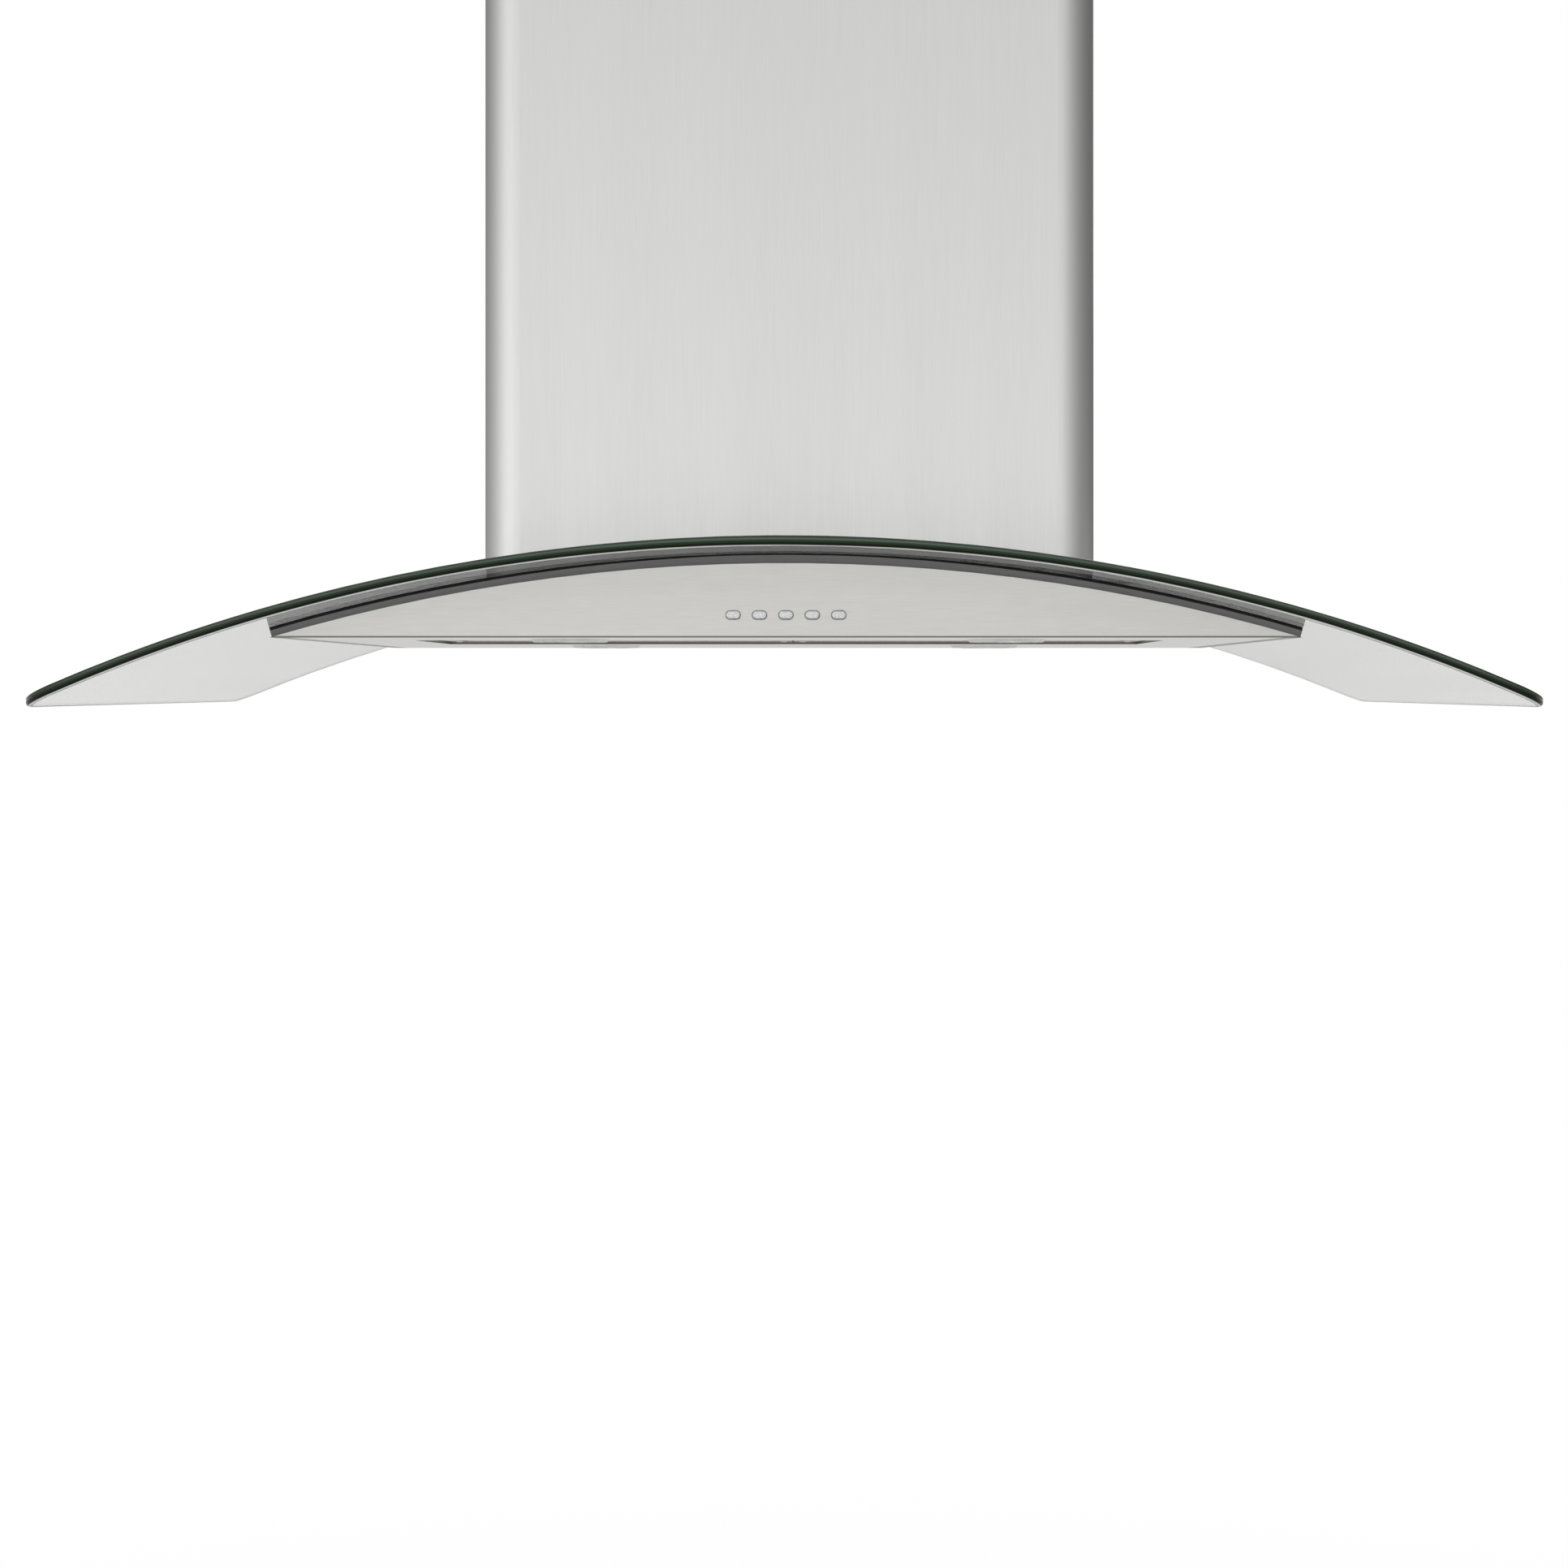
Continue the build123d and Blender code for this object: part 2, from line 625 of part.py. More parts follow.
for (side_name, _), place in zip(sides, filter_places):
    with BuildPart() as filter_frame:
        with BuildSketch(Plane.XY.offset(filter_bottom)):
            with Locations((place, filter_centre_y)):
                Rectangle(filter_width, filter_depth)
                Rectangle(mesh_open_width, mesh_open_depth, mode=Mode.SUBTRACT)
        extrude(amount=filter_thickness)
        with BuildSketch(Plane.XY.offset(mesh_middle)):
            with Locations((place, filter_centre_y)):
                Rectangle(mesh_open_width + 2 * filter_groove, mesh_open_depth + 2 * filter_groove)
        extrude(amount=mesh_thickness / 2 + mesh_fit, both=True, mode=Mode.SUBTRACT)
        with BuildSketch(Plane.XY.offset(filter_bottom + tab_rise)):
            with Locations(*[(place + offset, filter_rear) for offset in tab_offsets]):
                Rectangle(tab_width, tab_length, align=(Align.CENTER, Align.MIN))
        extrude(amount=tab_thickness)
        with Locations((place, latch_face, latch_base)):
            Box(
                latch_body_width + 2 * latch_gap,
                latch_pocket_length,
                pocket_height,
                align=(Align.CENTER, Align.MIN, Align.MIN),
                mode=Mode.SUBTRACT,
            )
        with Locations((place, filter_front, tongue_bottom - latch_gap)):
            Box(
                tongue_width + 2 * latch_gap,
                latch_wall,
                tongue_thickness + 2 * latch_gap,
                align=(Align.CENTER, Align.MIN, Align.MIN),
                mode=Mode.SUBTRACT,
            )
        with Locations((place, latch_face, filter_bottom)):
            Box(
                finger_width + 2 * latch_gap,
                latch_gap + finger_thickness + latch_travel + latch_gap,
                latch_wall,
                align=(Align.CENTER, Align.MIN, Align.MIN),
                mode=Mode.SUBTRACT,
            )
    finish(filter_frame, f"filter_frame_{side_name}")

    with BuildPart() as filter_mesh:
        with BuildSketch(Plane.XY.offset(mesh_middle - mesh_thickness / 2)):
            with Locations((place, filter_centre_y)):
                Rectangle(mesh_width, mesh_depth)
                with GridLocations(mesh_pitch_x, mesh_pitch_y, mesh_columns, mesh_rows):
                    add(mesh_cell.sketch, mode=Mode.SUBTRACT)
        extrude(amount=mesh_thickness)
    finish(filter_mesh, f"filter_mesh_{side_name}")

    with BuildPart() as filter_latch:
        with Locations((place, latch_face + latch_gap, latch_base + latch_gap)):
            Box(
                latch_body_width,
                latch_body_length,
                latch_body_height,
                align=(Align.CENTER, Align.MIN, Align.MIN),
            )
        with BuildSketch(Plane.YZ.offset(place)):
            with BuildLine():
                Polyline(
                    (latch_face + latch_gap, tongue_bottom),
                    (tongue_tip, tongue_bottom),
                    (tongue_tip, tongue_bottom + tongue_thickness - tongue_bevel),
                    (tongue_tip + tongue_bevel, tongue_bottom + tongue_thickness),
                    (latch_face + latch_gap, tongue_bottom + tongue_thickness),
                    close=True,
                )
            make_face()
        extrude(amount=tongue_width / 2, both=True)
        with Locations((place, latch_face + latch_gap, filter_bottom - finger_drop)):
            Box(
                finger_width,
                finger_thickness,
                finger_drop + latch_wall + latch_gap,
                align=(Align.CENTER, Align.MIN, Align.MIN),
            )
    finish(filter_latch, f"filter_latch_{side_name}")

    with BuildPart() as latch_spring:
        with BuildSketch(Plane.XY.offset(latch_base + pocket_height / 2)):
            with BuildLine():
                spring_bow = ThreePointArc(
                    (place - latch_spring_width / 2, spring_front + latch_gap),
                    (place, spring_back - latch_gap - latch_spring_sheet),
                    (place + latch_spring_width / 2, spring_front + latch_gap),
                )
                offset(spring_bow, latch_spring_sheet, side=Side.LEFT)
            make_face()
        extrude(amount=latch_spring_height / 2, both=True)
    finish(latch_spring, f"latch_spring_{side_name}")

# Buttons and the switch block behind them
switch_front = canopy_front - canopy_sheet - switch_space
button_back = canopy_front - canopy_sheet - button_gap

for index, (button_x, _) in enumerate(button_places):
    with BuildPart() as button:
        with BuildSketch(Plane.XZ.offset(button_back)):
            with Locations((button_x, button_z)):
                SlotOverall(button_width, button_height)
        extrude(amount=button_proud + canopy_sheet + button_gap)
        crown = button.faces().sort_by(Axis.Y)[0]
        fillet(crown.edges(), button_crown)
        with BuildSketch(Plane.XZ.offset(button_back)):
            with Locations((button_x, button_z)):
                SlotOverall(button_width + 2 * button_collar_step, button_height + 2 * button_collar_step)
        extrude(amount=-button_collar)
        with BuildSketch(Plane.XZ.offset(button_back)):
            with Locations((button_x, button_z)):
                Rectangle(button_height, button_height / 2)
        extrude(amount=-button_stem)
    finish(button, f"button_{index + 1}")

with BuildPart() as switch_block:
    with BuildSketch(Plane.XZ.offset(switch_front)):
        with Locations((0, button_z)):
            Rectangle(switch_width, switch_height)
    extrude(amount=-switch_depth)
    with BuildSketch(Plane.XZ.offset(switch_front)):
        with Locations((0, button_z)):
            with GridLocations(switch_width - switch_foot, 0, 2, 1):
                Rectangle(switch_foot, switch_height)
    extrude(amount=switch_space)
    with BuildSketch(Plane.XZ.offset(switch_front)):
        with Locations(*button_places):
            Rectangle(button_height + 2 * button_gap, button_height / 2 + 2 * button_gap)
    extrude(amount=-(button_stem + button_travel), mode=Mode.SUBTRACT)
finish(switch_block, "switch_block")

# Lamps
lens_radius = lamp_hole_radius - lamp_hole_gap - lamp_neck_wall - lens_gap
lens_foot = lamp_lip - lamp_bezel_drop

with BuildPart() as lamp_bezel:
    with BuildSketch(Plane.XZ):
        with BuildLine():
            Polyline(
                (lens_radius - lamp_lip, -lamp_bezel_drop),
                (lamp_bezel_radius - lamp_bezel_drop, -lamp_bezel_drop),
                (lamp_bezel_radius, 0),
                (lamp_hole_radius - lamp_hole_gap, 0),
                (lamp_hole_radius - lamp_hole_gap, lamp_neck_height),
                (lens_radius + lens_gap, lamp_neck_height),
                (lens_radius + lens_gap, lens_foot),
                (lens_radius - lamp_lip, lens_foot),
                close=True,
            )
        make_face()
    revolve(axis=Axis.Z)

with BuildPart() as lamp_bezels:
    with Locations(*[(x, y, canopy_bottom) for x, y in lamp_places]):
        add(lamp_bezel.part)
finish(lamp_bezels, "lamp_bezels")

with BuildPart() as lamp_lenses:
    with Locations(*[(x, y, canopy_bottom + lens_foot) for x, y in lamp_places]):
        Cylinder(lens_radius, lens_thickness, align=(Align.CENTER, Align.CENTER, Align.MIN))
finish(lamp_lenses, "lamp_lenses")

with BuildPart() as lamp_cup:
    with BuildSketch(Plane.XZ):
        with BuildLine():
            Polyline(
                (lamp_hole_radius, 0),
                (lamp_cup_radius, 0),
                (lamp_cup_radius, lamp_cup_wall),
                (lamp_hole_radius + lamp_cup_wall, lamp_cup_wall),
                (lamp_hole_radius + lamp_cup_wall, lamp_neck_height),
                (lamp_base_radius + lamp_cup_wall, lamp_cup_height - lamp_base_height),
                (lamp_base_radius + lamp_cup_wall, lamp_cup_height),
                (0, lamp_cup_height),
                (0, lamp_cup_height - lamp_cup_wall),
                (lamp_base_radius, lamp_cup_height - lamp_cup_wall),
                (lamp_base_radius, lamp_cup_height - lamp_base_height),
                (lamp_hole_radius, lamp_neck_height),
                close=True,
            )
        make_face()
    revolve(axis=Axis.Z)

with BuildPart() as lamp_cups:
    with Locations(*[(x, y, canopy_bottom + panel_sheet) for x, y in lamp_places]):
        add(lamp_cup.part)
finish(lamp_cups, "lamp_cups")

# Blower box and the bars that carry it
foot_sketch = arch_segment(canopy_radius, canopy_bottom)

with BuildPart() as blower_box:
    with BuildSketch(Plane.XY.offset(canopy_bottom)):
        Rectangle(box_width, box_depth)
    extrude(amount=box_top_z - canopy_bottom)
    with BuildSketch(Plane.XY.offset(canopy_bottom)):
        Rectangle(box_width - 2 * box_sheet, box_depth - 2 * box_sheet)
    extrude(amount=box_top_z - box_sheet - canopy_bottom, mode=Mode.SUBTRACT)
    extrude(foot_sketch, amount=canopy_front, both=True, mode=Mode.SUBTRACT)
    with Locations((0, 0, box_top_z)):
        Hole(collar_radius - collar_wall, 2 * box_sheet)
finish(blower_box, "blower_box")


def angle_outline(x, y, sx, sy):
    """Angle section with its outer corner at x, y in the quadrant sx, sy."""
    return [
        (sx * x, sy * y),
        (sx * (x - angle_flange), sy * y),
        (sx * (x - angle_flange), sy * (y - angle_sheet)),
        (sx * (x - angle_sheet), sy * (y - angle_sheet)),
        (sx * (x - angle_sheet), sy * (y - angle_flange)),
        (sx * x, sy * (y - angle_flange)),
    ]


slot_width = 2 * (lock_screw_radius + lock_slot_gap)
slot_low = lock_z - height_travel_down - slot_end_margin
slot_high = lock_z + height_travel_up + slot_end_margin

for end_name, sy in ends:
    for side_name, sx in sides:
        with BuildPart() as lower_angle:
            with BuildSketch(Plane.XY.offset(canopy_bottom)):
                with BuildLine():
                    Polyline(*angle_outline(angle_x, angle_y, sx, sy), close=True)
                make_face()
            extrude(amount=glass_top + lower_angle_top - canopy_bottom)
            extrude(foot_sketch, amount=canopy_front, both=True, mode=Mode.SUBTRACT)
            with BuildSketch(Plane.YZ):
                with Locations((sy * lock_y, lock_z)):
                    Circle(lock_screw_radius + screw_hole_gap)
            extrude(amount=angle_x, both=True, mode=Mode.SUBTRACT)
        finish(lower_angle, f"lower_angle_{end_name}_{side_name}")

        with BuildPart() as upper_angle:
            with BuildSketch(Plane.XY.offset(-ceiling_sheet)):
                with BuildLine():
                    Polyline(*angle_outline(upper_angle_x, upper_angle_y, sx, sy), close=True)
                make_face()
            extrude(amount=-upper_angle_length)
            with BuildSketch(Plane.YZ):
                with Locations((sy * lock_y, (slot_low + slot_high) / 2)):
                    SlotOverall(slot_high - slot_low, slot_width, rotation=90)
            extrude(amount=angle_x, both=True, mode=Mode.SUBTRACT)
        finish(upper_angle, f"upper_angle_{end_name}_{side_name}")

lock_grip = 2 * angle_sheet + 2 * angle_nest_gap

with BuildPart() as frame_lock_screws:
    for _, sx in sides:
        head_plane = Plane((sx * angle_x, 0, lock_z), x_dir=(0, 1, 0), z_dir=(sx, 0, 0))
        lock_places = [(-lock_y, 0), (lock_y, 0)]
        with BuildSketch(head_plane):
            with Locations(*lock_places):
                Circle(lock_head_radius)
        extrude(amount=lock_head_height)
        with BuildSketch(head_plane):
            with Locations(*lock_places):
                Circle(lock_screw_radius)
        extrude(amount=-(lock_grip + lock_nut_height))
        with BuildSketch(head_plane.offset(-lock_grip)):
            with Locations(*lock_places):
                RegularPolygon(lock_head_radius, nut_sides)
        extrude(amount=-lock_nut_height)
finish(frame_lock_screws, "frame_lock_screws")


# Chimney
def chimney_half(width, depth, corner, end):
    """Plan of the front or the rear half of a chimney with rounded corners."""
    with BuildSketch() as half:
        RectangleRounded(width, depth, corner)
        RectangleRounded(
            width - 2 * chimney_sheet,
            depth - 2 * chimney_sheet,
            corner - chimney_sheet,
            mode=Mode.SUBTRACT,
        )
        with Locations((0, end * chimney_seam / 2)):
            Rectangle(
                width,
                depth / 2,
                align=(Align.CENTER, Align.MIN if end > 0 else Align.MAX),
                mode=Mode.INTERSECT,
            )
    return half.sketch


vent_middle = -(vent_from_ceiling + (vent_rows - 1) * vent_pitch / 2)
vent_y = chimney_depth / 4
screw_hole = screw_radius + screw_hole_gap

for end_name, sy in ends:
    with BuildPart() as lower_chimney:
        half_plan = chimney_half(chimney_width, chimney_depth, chimney_corner, sy)
        extrude(half_plan.moved(Location((0, 0, canopy_bottom))), amount=lower_chimney_top - canopy_bottom)
        foot = arch_segment(glass_radius + chimney_foot_gap, canopy_bottom)
        extrude(foot, amount=glass_depth / 2, both=True, mode=Mode.SUBTRACT)
        with BuildSketch(Plane.YZ):
            with Locations((sy * lower_screw_y, lower_screw_z)):
                Circle(screw_hole)
        extrude(amount=chimney_width, both=True, mode=Mode.SUBTRACT)
    finish(lower_chimney, f"lower_chimney_{end_name}")

    with BuildPart() as upper_chimney:
        extrude(chimney_half(upper_width, upper_depth, upper_corner, sy), amount=-upper_chimney_height)
        with BuildSketch(Plane.YZ):
            with Locations((sy * vent_y, vent_middle)):
                with GridLocations(0, vent_pitch, 1, vent_rows):
                    SlotOverall(vent_length, vent_width)
            with Locations((sy * upper_screw_y, -upper_screw_drop)):
                Circle(screw_hole)
        extrude(amount=chimney_width, both=True, mode=Mode.SUBTRACT)
    finish(upper_chimney, f"upper_chimney_{end_name}")

strip_top = -(ceiling_sheet + ceiling_rim + seam_strip_inset)
strip_low = -upper_chimney_height + seam_strip_inset

with BuildPart() as upper_seam_strips:
    with BuildSketch(Plane.XY.offset(strip_top)):
        with GridLocations(upper_width - 2 * chimney_sheet - seam_strip_sheet, 0, 2, 1):
            Rectangle(seam_strip_sheet, seam_strip_width)
    extrude(amount=strip_low - strip_top)
finish(upper_seam_strips, "upper_seam_strips")


def side_screws(x, y, z):
    """Pan-head screws driven inwards through both sides of a chimney."""
    for _, sx in sides:
        head_plane = Plane((sx * x, 0, z), x_dir=(0, 1, 0), z_dir=(sx, 0, 0))
        for sy in (-1, 1):
            with BuildSketch(head_plane) as head:
                with Locations((sy * y, 0)):
                    Circle(screw_head_radius)
            extrude(head.sketch, amount=screw_head_height, taper=screw_head_taper)
            with BuildSketch(head_plane) as shank:
                with Locations((sy * y, 0)):
                    Circle(screw_radius)
            extrude(shank.sketch, amount=-screw_length)


with BuildPart() as upper_chimney_screws:
    side_screws(upper_width / 2, upper_screw_y, -upper_screw_drop)
finish(upper_chimney_screws, "upper_chimney_screws")

with BuildPart() as lower_chimney_screws:
    side_screws(chimney_width / 2, lower_screw_y, lower_screw_z)
finish(lower_chimney_screws, "lower_chimney_screws")

bracket_reach = chimney_width / 2 - chimney_sheet

for side_name, sx in sides:
    with BuildPart() as chimney_bracket:
        with BuildSketch(Plane.XZ):
            with BuildLine():
                Polyline(
                    (sx * box_width / 2, bracket_low),
                    (sx * (box_width / 2 + bracket_sheet), bracket_low),
                    (sx * (box_width / 2 + bracket_sheet), bracket_bend),
                    (sx * bracket_reach, bracket_bend),
                    (sx * bracket_reach, bracket_bend + bracket_leg),
                    (sx * (bracket_reach - bracket_sheet), bracket_bend + bracket_leg),
                    (sx * (bracket_reach - bracket_sheet), bracket_bend + bracket_sheet),
                    (sx * box_width / 2, bracket_bend + bracket_sheet),
                    close=True,
                )
            make_face()
        extrude(amount=bracket_width / 2, both=True)
        with BuildSketch(Plane.YZ):
            with Locations((-lower_screw_y, lower_screw_z), (lower_screw_y, lower_screw_z)):
                Circle(screw_hole)
        extrude(amount=chimney_width, both=True, mode=Mode.SUBTRACT)
    finish(chimney_bracket, f"chimney_bracket_{side_name}")

# Ceiling plate
with BuildPart() as ceiling_plate:
    with BuildSketch():
        RectangleRounded(plate_width, plate_depth, plate_corner)
        Circle(duct_hole_radius, mode=Mode.SUBTRACT)
        with GridLocations(ceiling_bolt_x, ceiling_bolt_y, 2, 2):
            Circle(ceiling_bolt_hole, mode=Mode.SUBTRACT)
    extrude(amount=-ceiling_sheet)
    with BuildSketch():
        RectangleRounded(plate_width, plate_depth, plate_corner)
        RectangleRounded(
            plate_width - 2 * ceiling_sheet,
            plate_depth - 2 * ceiling_sheet,
            plate_corner - ceiling_sheet,
            mode=Mode.SUBTRACT,
        )
    extrude(amount=-ceiling_rim)
    with BuildSketch(Plane.YZ):
        with Locations((-upper_screw_y, -upper_screw_drop), (upper_screw_y, -upper_screw_drop)):
            Circle(screw_hole)
    extrude(amount=chimney_width, both=True, mode=Mode.SUBTRACT)
finish(ceiling_plate, "ceiling_plate")

# Fan
fan_axis = Axis((0, fan_axis_y, fan_z), (1, 0, 0))
fan_plane = Plane((0, fan_axis_y, fan_z), x_dir=(0, 1, 0), z_dir=(1, 0, 0))
outlet_front = scroll_start_radius * cos(radians(scroll_start_angle))
outlet_top = box_top_z - box_sheet - fan_z


def volute(grow):
    """Outline of the scroll, grown outwards by one amount all round."""
    start = degrees(acos((outlet_front - grow) / (scroll_start_radius + grow)))
    sweep_angle = scroll_end_angle - start
    points = []
    for step in range(scroll_points):
        turn = step / (scroll_points - 1)
        angle = radians(start + turn * sweep_angle)
        radius = scroll_start_radius + turn * (scroll_end_radius - scroll_start_radius) + grow
        points.append((radius * cos(angle), radius * sin(angle)))
    with BuildSketch(fan_plane) as outline:
        with BuildLine():
            Spline(*points)
            Polyline(points[-1], (points[-1][0], outlet_top), (outlet_front - grow, outlet_top), points[0])
        make_face()
    return outline.sketch


for side_name, sx in sides:
    with BuildPart() as scroll:
        extrude(volute(scroll_wall), amount=sx * scroll_half_width)
        extrude(volute(0), amount=sx * (scroll_half_width - scroll_wall), mode=Mode.SUBTRACT)
        with BuildSketch(fan_plane.offset(sx * scroll_half_width)):
            Circle(inlet_radius)
        extrude(amount=-sx * scroll_wall, mode=Mode.SUBTRACT)
    finish(scroll, f"scroll_{side_name}")

with BuildSketch() as blade_outline:
    with BuildLine():
        lean = radians(blade_lean)
        middle_radius = (blade_inner_radius + impeller_radius) / 2
        blade_face = ThreePointArc(
            (blade_inner_radius, 0),
            (middle_radius * cos(lean / 2) + blade_bulge * sin(lean / 2),
             middle_radius * sin(lean / 2) - blade_bulge * cos(lean / 2)),
            (impeller_radius * cos(lean), impeller_radius * sin(lean)),
        )
        offset(blade_face, blade_thickness, side=Side.LEFT)
    make_face()

with BuildPart() as impeller:
    with BuildSketch(fan_plane):
        with PolarLocations(0, blade_count):
            add(blade_outline.sketch)
    extrude(amount=impeller_half_length, both=True)
    with BuildSketch(fan_plane):
        Circle(impeller_radius)
        Circle(shaft_radius + shaft_press_gap, mode=Mode.SUBTRACT)
    extrude(amount=impeller_disc / 2, both=True)
    with BuildSketch(fan_plane):
        Circle(hub_radius)
        Circle(shaft_radius + shaft_press_gap, mode=Mode.SUBTRACT)
    extrude(amount=hub_length)
    for sx in (-1, 1):
        with BuildSketch(fan_plane.offset(sx * impeller_half_length)):
            Circle(impeller_radius)
            Circle(impeller_radius - impeller_ring, mode=Mode.SUBTRACT)
        extrude(amount=-sx * impeller_ring)
finish(impeller, "impeller")

motor_end = -scroll_half_width + motor_length

with BuildPart() as motor_shaft:
    with BuildSketch(fan_plane.offset(-scroll_half_width)):
        Circle(shaft_radius)
    extrude(amount=scroll_half_width + hub_length + shaft_past_hub)
finish(motor_shaft, "motor_shaft")

with BuildPart() as motor:
    with BuildSketch(fan_plane.offset(-scroll_half_width)):
        Circle(motor_radius)
    extrude(amount=motor_length)
    motor_rims = motor.edges().filter_by(GeomType.CIRCLE)
    fillet(motor_rims, motor_edge)
    with BuildSketch(fan_plane.offset(-scroll_half_width + motor_length / 2)):
        Circle(motor_radius + motor_band_step)
    extrude(amount=motor_band / 2, both=True)
    with BuildSketch(fan_plane.offset(-scroll_half_width)):
        Circle(shaft_radius + shaft_running_gap)
    extrude(amount=motor_length, mode=Mode.SUBTRACT)
finish(motor, "motor")

spider_ring_radius = inlet_radius + inlet_lip + spider_ring_width

with BuildPart() as motor_bracket:
    with BuildSketch(fan_plane.offset(-scroll_half_width)):
        Circle(spider_ring_radius)
        Circle(spider_ring_radius - spider_ring_width, mode=Mode.SUBTRACT)
        Circle(spider_hub_radius)
        with PolarLocations(0, spider_arms):
            Rectangle(
                spider_ring_radius - spider_ring_width / 2,
                spider_arm_width,
                align=(Align.MIN, Align.CENTER),
            )
        Circle(shaft_radius + inlet_lip, mode=Mode.SUBTRACT)
    extrude(amount=-spider_plate)
finish(motor_bracket, "motor_bracket")

# Outlet collar with its non-return flaps
collar_bore = collar_radius - collar_wall
flap_radius = collar_bore - flap_rim_gap
seat_top = flap_z - flap_thickness - flap_seat_gap
flap_edge = flap_knuckle_radius + flap_knuckle_gap

with BuildPart() as outlet_collar:
    with BuildSketch(Plane.XY.offset(collar_foot)):
        Circle(collar_flange_radius)
        Circle(collar_bore, mode=Mode.SUBTRACT)
    extrude(amount=collar_flange)
    with BuildSketch(Plane.XY.offset(collar_foot)):
        Circle(collar_radius)
        Circle(collar_bore, mode=Mode.SUBTRACT)
    extrude(amount=collar_height)
    with BuildSketch(Plane.XY.offset(seat_top)):
        Circle(collar_bore)
        Circle(collar_bore - flap_seat_width, mode=Mode.SUBTRACT)
    extrude(amount=-flap_seat_thickness)
    with BuildSketch(Plane.YZ):
        with Locations((0, flap_z)):
            Circle(flap_pin_radius + flap_running_gap)
    extrude(amount=collar_radius, both=True, mode=Mode.SUBTRACT)
finish(outlet_collar, "outlet_collar")

with BuildPart() as flap_pin:
    with BuildSketch(Plane.YZ):
        with Locations((0, flap_z)):
            Circle(flap_pin_radius)
    extrude(amount=collar_radius - flap_pin_inset, both=True)
finish(flap_pin, "flap_pin")

for end_name, sy in ends:
    with BuildPart() as damper_flap:
        with BuildSketch(Plane.XY.offset(flap_z)):
            Circle(flap_radius)
            with Locations((0, sy * flap_edge)):
                Rectangle(
                    2 * flap_radius,
                    flap_radius,
                    align=(Align.CENTER, Align.MIN if sy > 0 else Align.MAX),
                    mode=Mode.INTERSECT,
                )
            with Locations(*[(-sy * place, 0) for place in flap_knuckle_places]):
                Rectangle(
                    flap_knuckle_length,
                    2 * flap_edge,
                    align=(Align.CENTER, Align.MIN if sy > 0 else Align.MAX),
                )
        extrude(amount=-flap_thickness)
        for place in flap_knuckle_places:
            with BuildSketch(Plane.YZ.offset(-sy * place)):
                with Locations((0, flap_z)):
                    Circle(flap_knuckle_radius)
            extrude(amount=flap_knuckle_length / 2, both=True)
        with BuildSketch(Plane.YZ):
            with Locations((0, flap_z)):
                Circle(flap_pin_radius + flap_running_gap)
        extrude(amount=collar_radius, both=True, mode=Mode.SUBTRACT)
    finish(damper_flap, f"damper_flap_{end_name}")

# Terminal box, its cover and gland, and the motor's capacitor
terminal_low = glass_top + terminal_base
terminal_face = box_width / 2 + terminal_depth
gland_x = box_width / 2 + terminal_depth / 2
terminal_top = terminal_low + terminal_height

with BuildPart() as terminal_box:
    with BuildSketch(Plane.YZ.offset(box_width / 2)):
        with Locations((0, terminal_low + terminal_height / 2)):
            Rectangle(terminal_width, terminal_height)
    extrude(amount=terminal_depth)
    with BuildSketch(Plane.YZ.offset(terminal_face)):
        with Locations((0, terminal_low + terminal_height / 2)):
            Rectangle(terminal_width - 2 * terminal_wall, terminal_height - 2 * terminal_wall)
    extrude(amount=terminal_wall - terminal_depth, mode=Mode.SUBTRACT)
    with Locations((gland_x, 0, terminal_top)):
        Hole(gland_thread_radius + gland_thread_gap, 2 * terminal_wall)
finish(terminal_box, "terminal_box")

with BuildPart() as terminal_box_cover:
    with BuildSketch(Plane.YZ.offset(terminal_face)):
        with Locations((0, terminal_low + terminal_height / 2)):
            RectangleRounded(terminal_width, terminal_height, terminal_cover_corner)
    extrude(amount=terminal_cover)
    cover_rim = terminal_box_cover.faces().sort_by(Axis.X)[-1].edges()
    chamfer(cover_rim, terminal_cover_chamfer)
finish(terminal_box_cover, "terminal_box_cover")

with BuildPart() as cable_gland:
    with BuildSketch(Plane.XY.offset(terminal_top - gland_thread_length)):
        with Locations((gland_x, 0)):
            Circle(gland_thread_radius)
    extrude(amount=gland_thread_length)
    with BuildSketch(Plane.XY.offset(terminal_top)):
        with Locations((gland_x, 0)):
            RegularPolygon(gland_nut_radius, nut_sides)
    extrude(amount=gland_nut_height)
    with BuildSketch(Plane.XY.offset(terminal_top + gland_nut_height)):
        with Locations((gland_x, 0)):
            Circle(gland_dome_radius)
    extrude(amount=gland_dome_height, taper=gland_dome_taper)
    with BuildSketch(Plane.XY.offset(terminal_top - gland_thread_length)):
        with Locations((gland_x, 0)):
            Circle(gland_bore_radius)
    extrude(amount=gland_thread_length + gland_nut_height + gland_dome_height, mode=Mode.SUBTRACT)
finish(cable_gland, "cable_gland")

with BuildPart() as capacitor:
    capacitor_x = -(box_width / 2 + capacitor_gap + capacitor_radius)
    with BuildSketch(Plane.XY.offset(terminal_low)):
        with Locations((capacitor_x, 0)):
            Circle(capacitor_radius)
    extrude(amount=capacitor_height)
    fillet(capacitor.edges().filter_by(GeomType.CIRCLE), capacitor_edge)
finish(capacitor, "capacitor")
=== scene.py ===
import json
from math import cos, pi, sin

import bmesh
import bpy
from mathutils import Matrix, Vector


